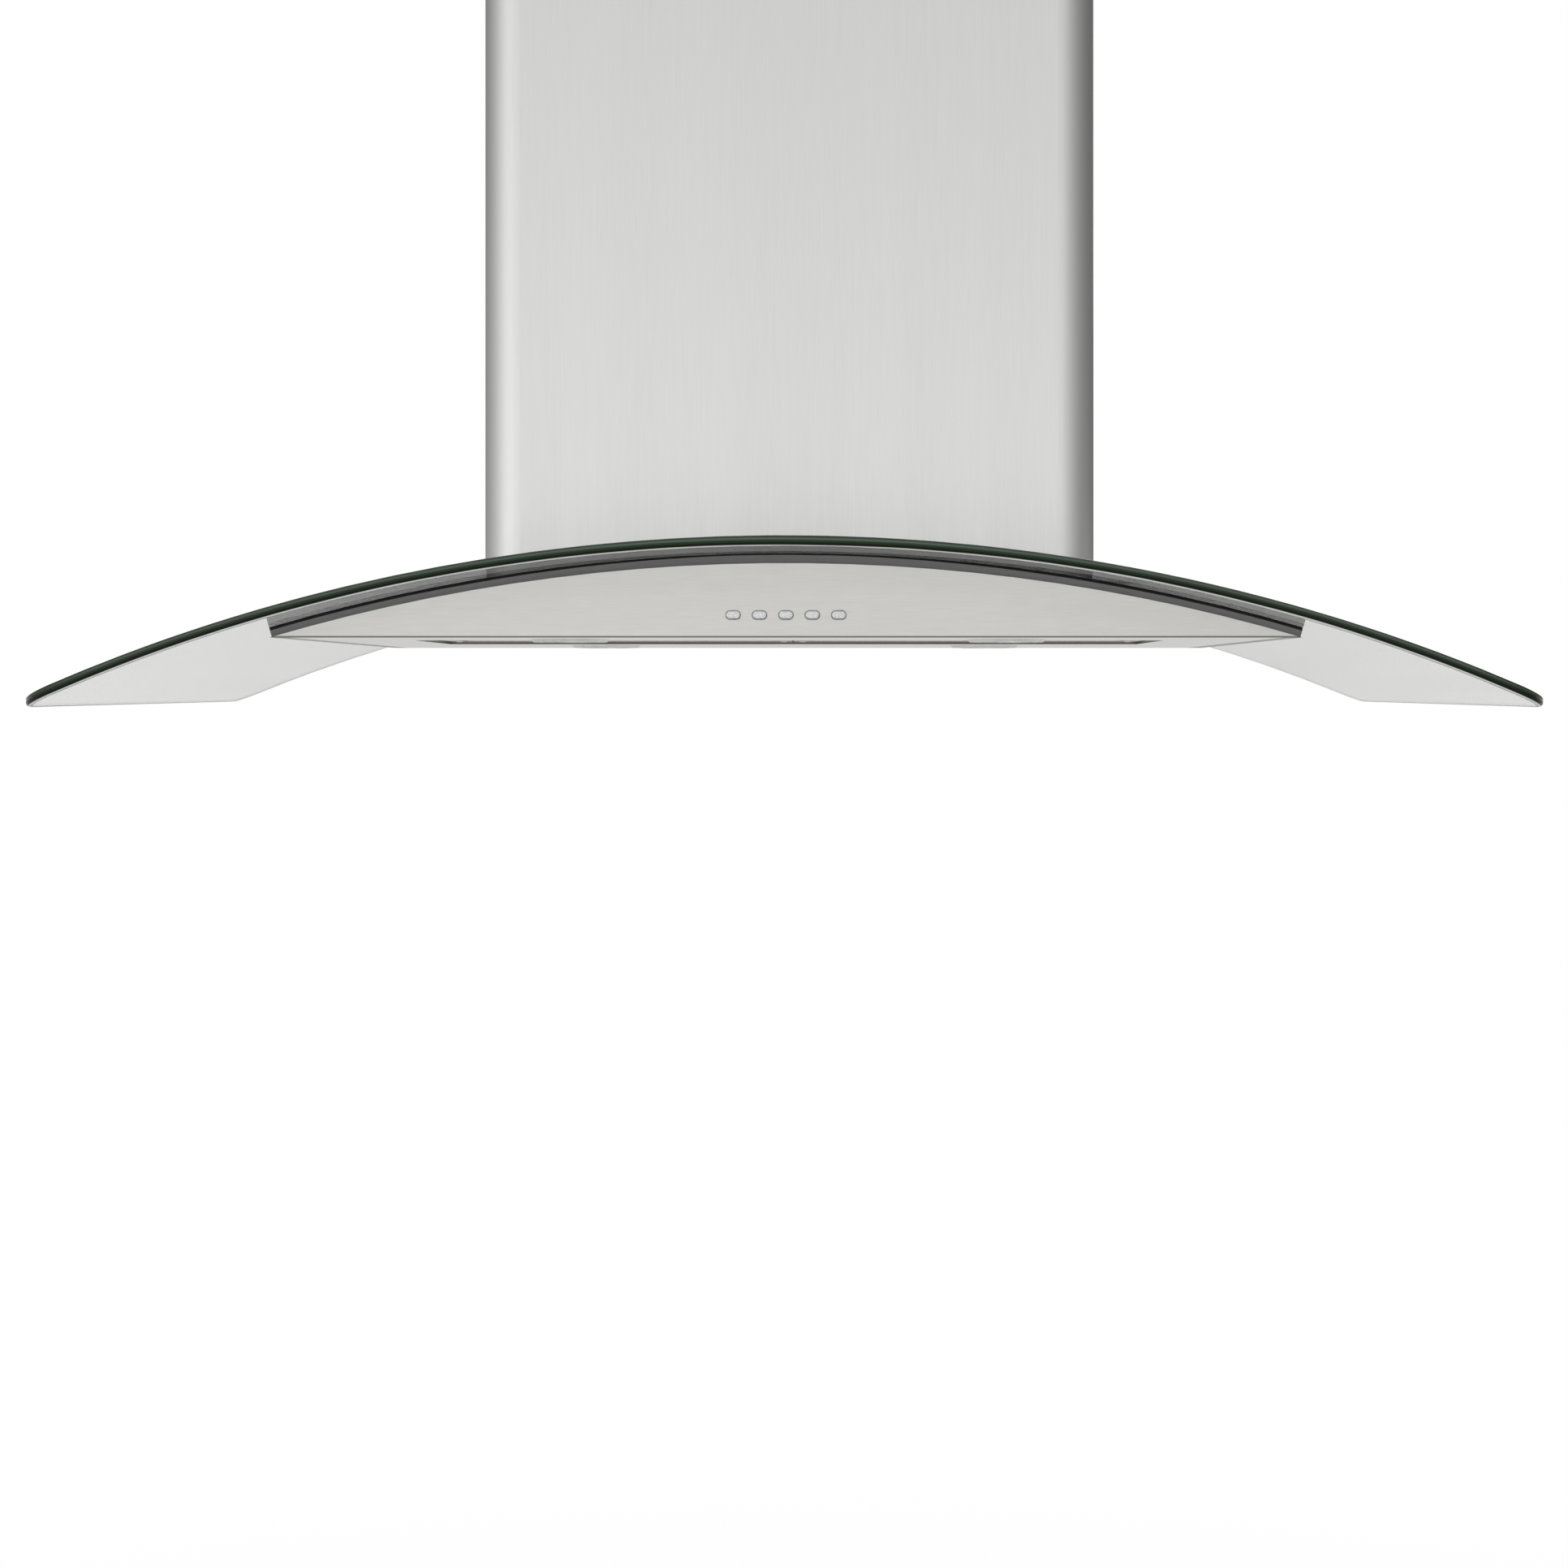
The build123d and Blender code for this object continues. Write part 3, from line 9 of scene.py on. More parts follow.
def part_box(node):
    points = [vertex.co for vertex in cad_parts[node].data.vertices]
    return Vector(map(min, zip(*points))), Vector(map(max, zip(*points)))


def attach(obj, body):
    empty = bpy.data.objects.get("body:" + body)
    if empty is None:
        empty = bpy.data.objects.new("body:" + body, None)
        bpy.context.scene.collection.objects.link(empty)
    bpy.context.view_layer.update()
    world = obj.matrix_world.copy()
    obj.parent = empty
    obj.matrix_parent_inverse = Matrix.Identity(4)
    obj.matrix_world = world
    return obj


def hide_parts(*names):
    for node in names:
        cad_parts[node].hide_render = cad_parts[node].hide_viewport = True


# Island range hood. Metres; the origin is on the ceiling, +Z is up and the buttons face -Y.
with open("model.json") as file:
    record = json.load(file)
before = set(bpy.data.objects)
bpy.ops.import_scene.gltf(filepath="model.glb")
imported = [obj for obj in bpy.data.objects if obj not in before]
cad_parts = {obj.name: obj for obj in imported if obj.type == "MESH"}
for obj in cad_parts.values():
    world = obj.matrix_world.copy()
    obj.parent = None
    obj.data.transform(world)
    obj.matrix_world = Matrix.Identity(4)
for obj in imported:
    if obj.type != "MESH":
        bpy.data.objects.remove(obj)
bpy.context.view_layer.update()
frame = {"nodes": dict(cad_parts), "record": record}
scene = bpy.context.scene
scene.view_settings.view_transform = "Standard"

ARCH_CENTRE_Z = -1.950      # axis of the glass's arch, which runs along Y
LAMP_X = 0.138              # of the four lamps, each side of the middle
LAMP_MIDDLE_Y = -0.025      # half way between the front and the rear lamps
LAMP_HALF_SPREAD = 0.125
UNDERSIDE_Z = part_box("underside_panel")[0][2]
CANOPY_FRONT_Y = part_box("canopy_shell")[0][1]
GLASS_TOP_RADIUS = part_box("glass_canopy")[1][2] - ARCH_CENTRE_Z
GLASS_THICKNESS = 0.0062
SEAT_TOP_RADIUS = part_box("glass_seat_frame")[1][2] - ARCH_CENTRE_Z


class Nodes:
    """A node tree, with short ways to add nodes and to join them."""

    def __init__(self, tree):
        self.tree = tree

    def add(self, kind, **settings):
        node = self.tree.nodes.new(kind)
        for name, value in settings.items():
            setattr(node, name, value)
        return node

    def join(self, source, target):
        """Join an output to an input, or set the input to a plain value."""
        if isinstance(source, (int, float, tuple)):
            target.default_value = source
        else:
            self.tree.links.new(source, target)

    def math(self, operation, first, second=0.0):
        node = self.add("ShaderNodeMath", operation=operation)
        self.join(first, node.inputs[0])
        self.join(second, node.inputs[1])
        return node.outputs[0]

    def vectors(self, operation, first, second=(0.0, 0.0, 0.0)):
        node = self.add("ShaderNodeVectorMath", operation=operation)
        self.join(first, node.inputs[0])
        self.join(second, node.inputs[1])
        return node.outputs

    def split(self, vector):
        node = self.add("ShaderNodeSeparateXYZ")
        self.join(vector, node.inputs[0])
        return node.outputs

    def span(self, value, low, high, start=0.0, end=1.0, smooth=False):
        """A value from start to end, spread over low to high."""
        node = self.add("ShaderNodeMapRange")
        node.interpolation_type = "SMOOTHSTEP" if smooth else "LINEAR"
        for name, number in (("From Min", start), ("From Max", end), ("To Min", low), ("To Max", high)):
            node.inputs[name].default_value = number
        self.join(value, node.inputs["Value"])
        return node.outputs["Result"]

    def ramp(self, value, stops):
        """A colour that goes through stops of (position, colour) as the value goes from 0 to 1."""
        node = self.add("ShaderNodeValToRGB")
        points = node.color_ramp.elements
        while len(points) < len(stops):
            points.new(1.0)
        for point, (position, colour) in zip(points, stops):
            point.position = position
            point.color = (*colour, 1.0)
        self.join(value, node.inputs[0])
        return node.outputs["Color"]


# Finishes
NOISE_LOW = 0.3             # nearly all of a noise pattern lies between these two
NOISE_HIGH = 0.7
MIX_FIRST = 6               # the Mix node's two colour inputs and its colour output
MIX_SECOND = 7
MIX_RESULT = 2


def scaled(colour, factor):
    return tuple(value * factor for value in colour)


class Finish(Nodes):
    """A material of the hood, with the patterns that its finishes are made of."""

    def __init__(self, name, **sockets):
        self.material = bpy.data.materials.new(name)
        self.material.use_nodes = True
        super().__init__(self.material.node_tree)
        self.shader = self.tree.nodes["Principled BSDF"]
        for socket, value in sockets.items():
            self.shader.inputs[socket.replace("_", " ")].default_value = value
        self.place = self.add("ShaderNodeTexCoord").outputs["Object"]

    def feed(self, source, socket):
        self.join(source, self.shader.inputs[socket])

    def relief(self, height, strength, distance):
        node = self.add("ShaderNodeBump")
        node.inputs["Strength"].default_value = strength
        node.inputs["Distance"].default_value = distance
        self.join(height, node.inputs["Height"])
        self.feed(node.outputs["Normal"], "Normal")

    def stretched(self, x, y, z):
        """The place, scaled along each axis, so that a pattern can run along one of them."""
        node = self.add("ShaderNodeMapping")
        node.inputs["Scale"].default_value = (x, y, z)
        self.join(self.place, node.inputs["Vector"])
        return node.outputs["Vector"]

    def noise(self, scale=1.0, detail=2.0, roughness=0.5, place=None):
        node = self.add("ShaderNodeTexNoise")
        node.inputs["Scale"].default_value = scale
        node.inputs["Detail"].default_value = detail
        node.inputs["Roughness"].default_value = roughness
        self.join(place or self.place, node.inputs["Vector"])
        return node.outputs["Fac"]

    def over_noise(self, pattern, low, high):
        """A noise pattern, spread over low to high."""
        return self.span(pattern, low, high, NOISE_LOW, NOISE_HIGH)

    def crystals(self, scale):
        """Three greys, different for each crystal."""
        cells = self.add("ShaderNodeTexVoronoi")
        cells.inputs["Scale"].default_value = scale
        self.join(self.place, cells.inputs["Vector"])
        greys = self.add("ShaderNodeSeparateColor")
        self.join(cells.outputs["Color"], greys.inputs[0])
        return greys.outputs

    def mean(self, first, second):
        return self.math("MULTIPLY", self.math("ADD", first, second), 0.5)

    def weighed(self, first, share, second):
        """Two patterns together, the first with a share and the second with the rest."""
        rest = self.math("MULTIPLY", second, 1.0 - share)
        return self.math("ADD", self.math("MULTIPLY", first, share), rest)

    def tint(self, factor, first, second, blend="MIX"):
        """A colour between two colours, each given as three numbers or as a socket."""
        node = self.add("ShaderNodeMix", data_type="RGBA", blend_type=blend)
        self.join(factor, node.inputs[0])
        for index, colour in ((MIX_FIRST, first), (MIX_SECOND, second)):
            self.join((*colour, 1.0) if isinstance(colour, tuple) else colour, node.inputs[index])
        return node.outputs[MIX_RESULT]

    def unsigned(self, value):
        return self.math("ABSOLUTE", value)

    def normal(self):
        return self.add("ShaderNodeNewGeometry").outputs["Normal"]

    def sideways(self):
        """Distance from the middle of the hood, to either side."""
        return self.unsigned(self.split(self.place)[0])

    def from_arch_axis(self):
        """The way from the axis of the glass's arch to the place."""
        flat = self.vectors("MULTIPLY", self.place, (1.0, 0.0, 1.0))["Vector"]
        return self.vectors("SUBTRACT", flat, (0.0, 0.0, ARCH_CENTRE_Z))["Vector"]

    def length(self, vector):
        return self.vectors("LENGTH", vector)["Value"]

    def lamp_distance(self):
        """Distance from the upright axis of the nearest lamp."""
        x, y, _ = self.split(self.place)
        across = self.math("SUBTRACT", self.unsigned(x), LAMP_X)
        along = self.unsigned(self.math("SUBTRACT", y, LAMP_MIDDLE_Y))
        along = self.math("SUBTRACT", along, LAMP_HALF_SPREAD)
        square = self.math("ADD", self.math("POWER", across, 2.0), self.math("POWER", along, 2.0))
        return self.math("SQRT", square)


def painted_shade_near_underside(finish, colour, fold, painted_shade_browns):
    """The colour, with painted brown shade on upright faces no higher above the underside than the fold."""
    height = finish.math("SUBTRACT", finish.split(finish.place)[2], UNDERSIDE_Z)
    near = finish.span(height, 1.0, 0.0, start=fold / 2.0, end=fold)
    flatness = finish.unsigned(finish.split(finish.normal())[2])
    upright = finish.span(flatness, 1.0, 0.0, start=0.3, end=0.6)
    brown = finish.tint(finish.span(height, 0.0, 1.0, end=fold / 2.0), *painted_shade_browns)
    return finish.tint(finish.math("MULTIPLY", near, upright), colour, brown)


def brushed_steel(name, grain, dark, light, roughness, rim=0.62, fold=None, painted_shade_browns=()):
    """Stainless sheet with a fine grain, which runs along the axis with the small number.

    The rim is what is left of the colour at a glance. A fold gives how high above the underside the
    upright faces get painted brown shade, from the first of the two browns at its edge to the second.
    """
    finish = Finish(name, Metallic=1.0, Specular_Tint=(rim, rim, rim, 1.0))
    broad_grain = [step / 6.0 for step in grain]
    cloud_grain = [step / 90.0 for step in grain]
    fine = finish.noise(detail=3.0, roughness=0.6, place=finish.stretched(*grain))
    broad = finish.noise(place=finish.stretched(*broad_grain))
    cloud = finish.noise(detail=3.0, place=finish.stretched(*cloud_grain))
    streaks = finish.weighed(fine, 0.8, broad)
    mixed = finish.weighed(streaks, 0.7, cloud)
    colour = finish.tint(finish.over_noise(mixed, 0.0, 1.0), dark, light)
    if fold:
        # painted shade: upright faces just above the underside are darkened brown
        colour = painted_shade_near_underside(finish, colour, fold, painted_shade_browns)
    finish.feed(colour, "Base Color")
    finish.feed(finish.over_noise(mixed, roughness + 0.04, roughness - 0.04), "Roughness")
    finish.relief(streaks, strength=0.10, distance=0.0001)
    return finish.material


# The glass's edge, from its lower to its upper face, with a painted highlight as the light line at its foot
# and a painted teal highlight above its middle; then the painted shade that darkens it from the middle to
# the sides.
EDGE_BANDS_AND_HIGHLIGHTS = (
    (0.06, (0.780, 0.785, 0.770)),
    (0.105, (0.004, 0.006, 0.003)),
    (0.23, (0.006, 0.010, 0.004)),
    (0.44, (0.018, 0.031, 0.015)),
    (0.56, (0.048, 0.070, 0.048)),
    (0.67, (0.120, 0.163, 0.126)),
    (0.77, (0.058, 0.076, 0.057)),
    (0.86, (0.027, 0.030, 0.021)),
    (0.96, (0.020, 0.018, 0.011)),
)
EDGE_PAINTED_SHADES = (
    (0.10, (1.0, 1.0, 1.0)),
    (0.55, (0.89, 0.81, 0.91)),
    (0.90, (0.89, 0.81, 0.91)),
    (0.97, (0.42, 0.45, 0.36)),
)
EDGE_REACH = 0.45           # from the middle to where the last shade ends
EDGE_LEAN = 0.90            # a normal that leans this far from the arch's radius is on the edge
SHEET_LEAN = 0.985          # and one that leans no further than this is on the sheet
CROWN_X = 0.04              # as far from the middle, edge and seat still look as they do at the crown
EDGE_SIDE_X = 0.22          # and from here on, as they do at the sides
SEAT_SIDE_X = 0.20


def clear_glass():
    """Clear arched sheet. What doesn't look along the arch's radius is its rounded dark green edge.

    The light line at the foot of the edge is a painted highlight; it is broader out at the sides, and the
    painted shade there leaves it out.
    """
    finish = Finish("clear_glass", IOR=1.5)
    raised = finish.from_arch_axis()
    outward = finish.vectors("NORMALIZE", raised)["Vector"]
    lean = finish.vectors("DOT_PRODUCT", outward, finish.normal())["Value"]
    edge = finish.span(finish.unsigned(lean), 1.0, 0.0, EDGE_LEAN, SHEET_LEAN, smooth=True)
    sideways = finish.sideways()
    uneven = finish.over_noise(finish.noise(9.0, detail=3.0), -0.0002, 0.0002)
    broader = finish.span(sideways, 0.0, 0.0004, CROWN_X, EDGE_SIDE_X)
    rise = finish.math("SUBTRACT", finish.math("ADD", finish.length(raised), uneven), broader)
    level = finish.span(rise, 0.0, 1.0, GLASS_TOP_RADIUS - GLASS_THICKNESS, GLASS_TOP_RADIUS)
    # painted shade: the edge turns darker and less green towards the sides
    painted_shades = finish.ramp(finish.span(sideways, 0.0, 1.0, end=EDGE_REACH), EDGE_PAINTED_SHADES)
    above_line = finish.span(level, 0.0, 1.0, start=0.10, end=0.18)
    # painted highlights in the edge's ramp: the light line at its foot and the teal band above its middle
    bands_and_highlights = finish.tint(above_line, finish.ramp(level, EDGE_BANDS_AND_HIGHLIGHTS), painted_shades, "MULTIPLY")
    sheet = finish.tint(finish.noise(3.0), (0.866, 0.877, 0.860), (0.882, 0.891, 0.876))
    finish.feed(finish.tint(edge, sheet, bands_and_highlights), "Base Color")
    finish.feed(finish.tint(edge, (1.0, 1.0, 1.0), (0.25, 0.33, 0.25)), "Specular Tint")
    finish.feed(finish.span(edge, 0.0, 0.10), "Roughness")
    finish.feed(finish.span(edge, 1.0, 0.0), "Transmission Weight")
    return finish.material


def satin_paint(name, colour, roughness, crown_dark_band, side_dark_band):
    """Sprayed satin paint with a faint orange-peel surface, and a painted black band along its top.

    The band is the rubber's lip and painted shade in the gap under the glass; it is thin at the crown of
    the arch and deeper out at the sides.
    """
    finish = Finish(name, Specular_IOR_Level=0.2)
    speck = finish.noise(600.0, detail=3.0)
    cloud = finish.noise(9.0)
    paint = finish.tint(finish.mean(speck, cloud), scaled(colour, 0.94), scaled(colour, 1.06))
    depth = finish.math("SUBTRACT", SEAT_TOP_RADIUS, finish.length(finish.from_arch_axis()))
    # painted black band along the seat's top: the rubber's lip and the shade in the gap under the glass
    lip = finish.span(finish.sideways(), crown_dark_band, side_dark_band, CROWN_X, SEAT_SIDE_X)
    rubber = finish.span(finish.math("SUBTRACT", lip, depth), 0.0, 1.0, start=-0.0001, end=0.0001)
    finish.feed(finish.tint(rubber, paint, (0.004, 0.004, 0.004)), "Base Color")
    finish.feed(finish.over_noise(speck, roughness - 0.04, roughness + 0.05), "Roughness")
    finish.relief(finish.noise(300.0), strength=0.05, distance=0.0001)
    return finish.material


def moulded_plastic(name, colour, roughness, grain=1500.0):
    """Moulded plastic with a fine spark-eroded grain."""
    finish = Finish(name)
    pits = finish.noise(grain)
    flow = finish.noise(detail=3.0, place=finish.stretched(18.0, 18.0, 60.0))
    mottled = finish.tint(finish.mean(pits, flow), scaled(colour, 0.86), scaled(colour, 1.12))
    finish.feed(mottled, "Base Color")
    finish.feed(finish.over_noise(pits, roughness - 0.06, roughness + 0.08), "Roughness")
    finish.relief(pits, strength=0.22, distance=0.0001)
    return finish.material


def soft_rubber():
    """Black rubber with a faint bloom."""
    finish = Finish("soft_rubber", Specular_IOR_Level=0.15)
    bloom = finish.noise(detail=3.0, place=finish.stretched(40.0, 40.0, 160.0))
    finish.feed(finish.tint(bloom, (0.003, 0.003, 0.003), (0.009, 0.009, 0.0085)), "Base Color")
    finish.feed(finish.span(bloom, 0.52, 0.70), "Roughness")
    finish.relief(finish.noise(240.0), strength=0.06, distance=0.0001)
    return finish.material


def zinc_sheet():
    """Galvanised sheet: flat crystals of slightly different grey."""
    finish = Finish("zinc_sheet", Metallic=1.0)
    mixed = finish.weighed(finish.crystals(75.0)[0], 0.7, finish.crystals(260.0)[1])
    finish.feed(finish.tint(mixed, (0.44, 0.45, 0.465), (0.60, 0.61, 0.62)), "Base Color")
    finish.feed(finish.span(mixed, 0.34, 0.50), "Roughness")
    finish.relief(finish.noise(160.0, detail=3.0), strength=0.08, distance=0.0002)
    return finish.material


def plated(name, dark, light, roughness, scale=320.0):
    """Plated or turned metal with fine tool marks."""
    finish = Finish(name, Metallic=1.0)
    marks = finish.noise(detail=3.0, place=finish.stretched(scale, scale, scale * 3.0))
    mixed = finish.mean(marks, finish.noise(60.0))
    finish.feed(finish.tint(finish.over_noise(mixed, 0.0, 1.0), dark, light), "Base Color")
    finish.feed(finish.over_noise(mixed, roughness - 0.05, roughness + 0.06), "Roughness")
    finish.relief(marks, strength=0.10, distance=0.0001)
    return finish.material


def turned_ring():
    """Lamp ring: bright metal with turning marks round each lamp."""
    finish = Finish("turned_ring", Metallic=1.0)
    marks = finish.math("SINE", finish.math("MULTIPLY", finish.lamp_distance(), 9000.0))
    mixed = finish.math("ADD", finish.math("MULTIPLY", marks, 0.12), finish.noise(120.0, detail=3.0))
    shine = finish.span(mixed, 0.0, 1.0, start=0.25, end=0.75)
    finish.feed(finish.tint(shine, (0.60, 0.60, 0.59), (0.76, 0.76, 0.75)), "Base Color")
    finish.feed(finish.span(mixed, 0.16, 0.28, start=0.25, end=0.75), "Roughness")
    finish.relief(marks, strength=0.10, distance=0.0001)
    return finish.material


def frosted_lens():
    """Lamp lens: frosted glass with ring-shaped prisms moulded in its lower face."""
    finish = Finish("frosted_lens", IOR=1.5, Transmission_Weight=0.55)
    prism_breadth = 0.0011
    prisms = finish.math("PINGPONG", finish.lamp_distance(), prism_breadth)
    frost = finish.noise(1400.0)
    finish.feed(finish.tint(frost, (0.86, 0.86, 0.83), (0.94, 0.94, 0.92)), "Base Color")
    finish.feed(finish.over_noise(frost, 0.34, 0.52), "Roughness")
    ridges = finish.math("MULTIPLY", prisms, 600.0)
    etched = finish.math("MULTIPLY", frost, 0.2)
    finish.relief(finish.math("ADD", ridges, etched), strength=0.5, distance=0.0008)
    return finish.material


def motor_metal():
    """Motor: pressed cans with a stack of thin steel sheets between them."""
    finish = Finish("motor_metal", Metallic=1.0)
    sheet_thickness = 0.0005
    sheets = finish.math("PINGPONG", finish.split(finish.place)[0], sheet_thickness)
    rust = finish.noise(130.0, detail=4.0)
    finish.feed(finish.tint(rust, (0.26, 0.26, 0.265), (0.42, 0.42, 0.42)), "Base Color")
    finish.feed(finish.span(rust, 0.36, 0.56), "Roughness")
    finish.relief(finish.math("MULTIPLY", sheets, 1800.0), strength=0.35, distance=0.0003)
    return finish.material


def pearl_button():
    """Push button: a bright, slightly uneven dome under a clear gloss.

    Its foot, where it doesn't face forward, is painted dark as shade, and most of all below, as painted
    shadow.
    """
    finish = Finish("pearl_button", Metallic=0.25, Coat_Weight=0.5, Coat_Roughness=0.05)
    uneven = finish.noise(700.0)
    dome = finish.tint(finish.over_noise(uneven, 0.0, 1.0), (0.72, 0.725, 0.735), (0.95, 0.955, 0.96))
    _, forward, upward = finish.split(finish.normal())
    # painted shade: the button's foot is dark, darker still where it faces down
    below = finish.math("MULTIPLY", finish.math("MINIMUM", upward), 0.25)
    facing = finish.math("ADD", finish.unsigned(forward), below)
    foot = finish.span(facing, 1.0, 0.0, start=0.35, end=0.55)
    finish.feed(finish.tint(foot, dome, (0.130, 0.126, 0.122)), "Base Color")
    finish.feed(finish.over_noise(uneven, 0.14, 0.28), "Roughness")
    finish.relief(uneven, strength=0.45, distance=0.0005)
    return finish.material


UPRIGHT_GRAIN = (1900.0, 1900.0, 34.0)
LEVEL_GRAIN = (60.0, 1900.0, 1900.0)

finishes = {
    "chimney_steel": brushed_steel(
        "upright_steel", UPRIGHT_GRAIN, (0.655, 0.654, 0.646), (0.695, 0.694, 0.686), 0.32
    ),
    # painted shade along the bend at the foot of the canopy's face
    "canopy_steel": brushed_steel(
        "level_steel", LEVEL_GRAIN, (0.545, 0.541, 0.523), (0.615, 0.611, 0.590), 0.34,
        fold=0.0013, painted_shade_browns=((0.11, 0.094, 0.078), (0.20, 0.180, 0.160)),
    ),
    # painted shade on the upright walls of the filter recess
    "underside_steel": brushed_steel(
        "underside_steel", LEVEL_GRAIN, (0.880, 0.872, 0.850), (0.950, 0.942, 0.920), 0.26,
        rim=1.0, fold=0.0040, painted_shade_browns=((0.095, 0.078, 0.062), (0.270, 0.246, 0.218)),
    ),
    "canopy_glass": clear_glass(),
    "seat_grey": satin_paint("seat_paint", (0.188, 0.191, 0.189), 0.50, crown_dark_band=0.0001, side_dark_band=0.0011),
    "black_rubber": soft_rubber(),
    "button_chrome": pearl_button(),
    "zinc_sheet": zinc_sheet(),
    "zinc_hardware": plated("zinc_plate", (0.52, 0.52, 0.50), (0.68, 0.68, 0.66), 0.30),
    "bolt_chrome": plated("bolt_plate", (0.62, 0.62, 0.62), (0.76, 0.76, 0.76), 0.18),
    "fan_plastic": moulded_plastic("fan_plastic", (0.050, 0.050, 0.053), 0.46),
    "collar_plastic": moulded_plastic("collar_plastic", (0.066, 0.066, 0.069), 0.44),
    "flap_plastic": moulded_plastic("flap_plastic", (0.155, 0.155, 0.160), 0.46),
    "terminal_plastic": moulded_plastic("terminal_plastic", (0.086, 0.086, 0.090), 0.48),
    "gland_plastic": moulded_plastic("gland_plastic", (0.29, 0.30, 0.31), 0.40),
    "capacitor_plastic": moulded_plastic("capacitor_plastic", (0.60, 0.60, 0.58), 0.30, grain=700.0),
    "motor_steel": motor_metal(),
    "shaft_steel": plated("ground_steel", (0.56, 0.56, 0.56), (0.70, 0.70, 0.70), 0.20),
    "filter_aluminium": brushed_steel(
        "filter_bar", LEVEL_GRAIN, (0.58, 0.58, 0.575), (0.70, 0.70, 0.69), 0.34
    ),
    "mesh_aluminium": plated("mesh_foil", (0.56, 0.56, 0.555), (0.72, 0.72, 0.71), 0.32, scale=180.0),
    "latch_plastic": moulded_plastic("latch_plastic", (0.19, 0.19, 0.195), 0.44),
    "spring_steel": plated("spring_strip", (0.42, 0.42, 0.42), (0.56, 0.56, 0.56), 0.26),
    "lamp_ring_steel": turned_ring(),
    "lamp_glass": frosted_lens(),
    "lamp_cup_steel": plated("lamp_cup", (0.60, 0.60, 0.59), (0.74, 0.74, 0.73), 0.28),
}

for entry in frame["record"]["subparts"]:
    slots = frame["nodes"][entry["node"]].data.materials
    slots.clear()
    slots.append(finishes[entry["material_slot"]])


# Pieces made with Geometry Nodes
class Tree(Nodes):
    """A Geometry Nodes tree with named inputs, run once and kept as a plain mesh."""

    def __init__(self, name, **inputs):
        super().__init__(bpy.data.node_groups.new(name, "GeometryNodeTree"))
        self.values = inputs
        self.sockets = {}
        for label, value in inputs.items():
            kind = "Object" if isinstance(value, bpy.types.Object) else "Float"
            self.sockets[label] = self.socket(label, kind)
        self.sockets["finish"] = self.socket("finish", "Material")
        self.socket("Geometry", "Geometry", "OUTPUT")
        self.start = self.add("NodeGroupInput")
        self.end = self.add("NodeGroupOutput")

    def socket(self, name, kind, in_out="INPUT"):
        return self.tree.interface.new_socket(name=name, in_out=in_out, socket_type=f"NodeSocket{kind}")

    def given(self, label):
        return self.start.outputs[label]

    def vector(self, x, y, z):
        node = self.add("ShaderNodeCombineXYZ")
        for index, value in enumerate((x, y, z)):
            self.join(value, node.inputs[index])
        return node.outputs[0]

    def repeat(self, points, shape, turn=None):
        node = self.add("GeometryNodeInstanceOnPoints")
        self.join(points, node.inputs["Points"])
        self.join(shape, node.inputs["Instance"])
        if turn is not None:
            self.join(turn, node.inputs["Rotation"])
        return node.outputs["Instances"]

    def close(self, geometry):
        real = self.add("GeometryNodeRealizeInstances")
        self.join(geometry, real.inputs[0])
        paint = self.add("GeometryNodeSetMaterial")
        self.join(real.outputs[0], paint.inputs["Geometry"])
        self.join(self.given("finish"), paint.inputs["Material"])
        self.join(paint.outputs[0], self.end.inputs["Geometry"])

    def make(self, name, finish, place, points=(), **sizes):
        """Run the tree on points of (place, turn), or on none, and keep the result as a plain mesh."""
        seed = bpy.data.meshes.new(f"{name}_points")
        seed.from_pydata([point for point, _ in points], [], [])
        if points:
            turns = seed.attributes.new("turn", "FLOAT_VECTOR", "POINT")
            for index, (_, turn) in enumerate(points):
                turns.data[index].vector = turn
        carrier = bpy.data.objects.new(f"{name}_carrier", seed)
        scene.collection.objects.link(carrier)
        modifier = carrier.modifiers.new("tree", "NODES")
        modifier.node_group = self.tree
        for label, value in {**self.values, **sizes, "finish": finish}.items():
            modifier[self.sockets[label].identifier] = value
        evaluated = carrier.evaluated_get(bpy.context.evaluated_depsgraph_get())
        mesh = bpy.data.meshes.new_from_object(evaluated)
        mesh.materials.clear()
        mesh.materials.append(finish)
        mesh.transform(Matrix.Translation(place))
        bpy.data.objects.remove(carrier)
        piece = bpy.data.objects.new(name, mesh)
        scene.collection.objects.link(piece)
        return piece


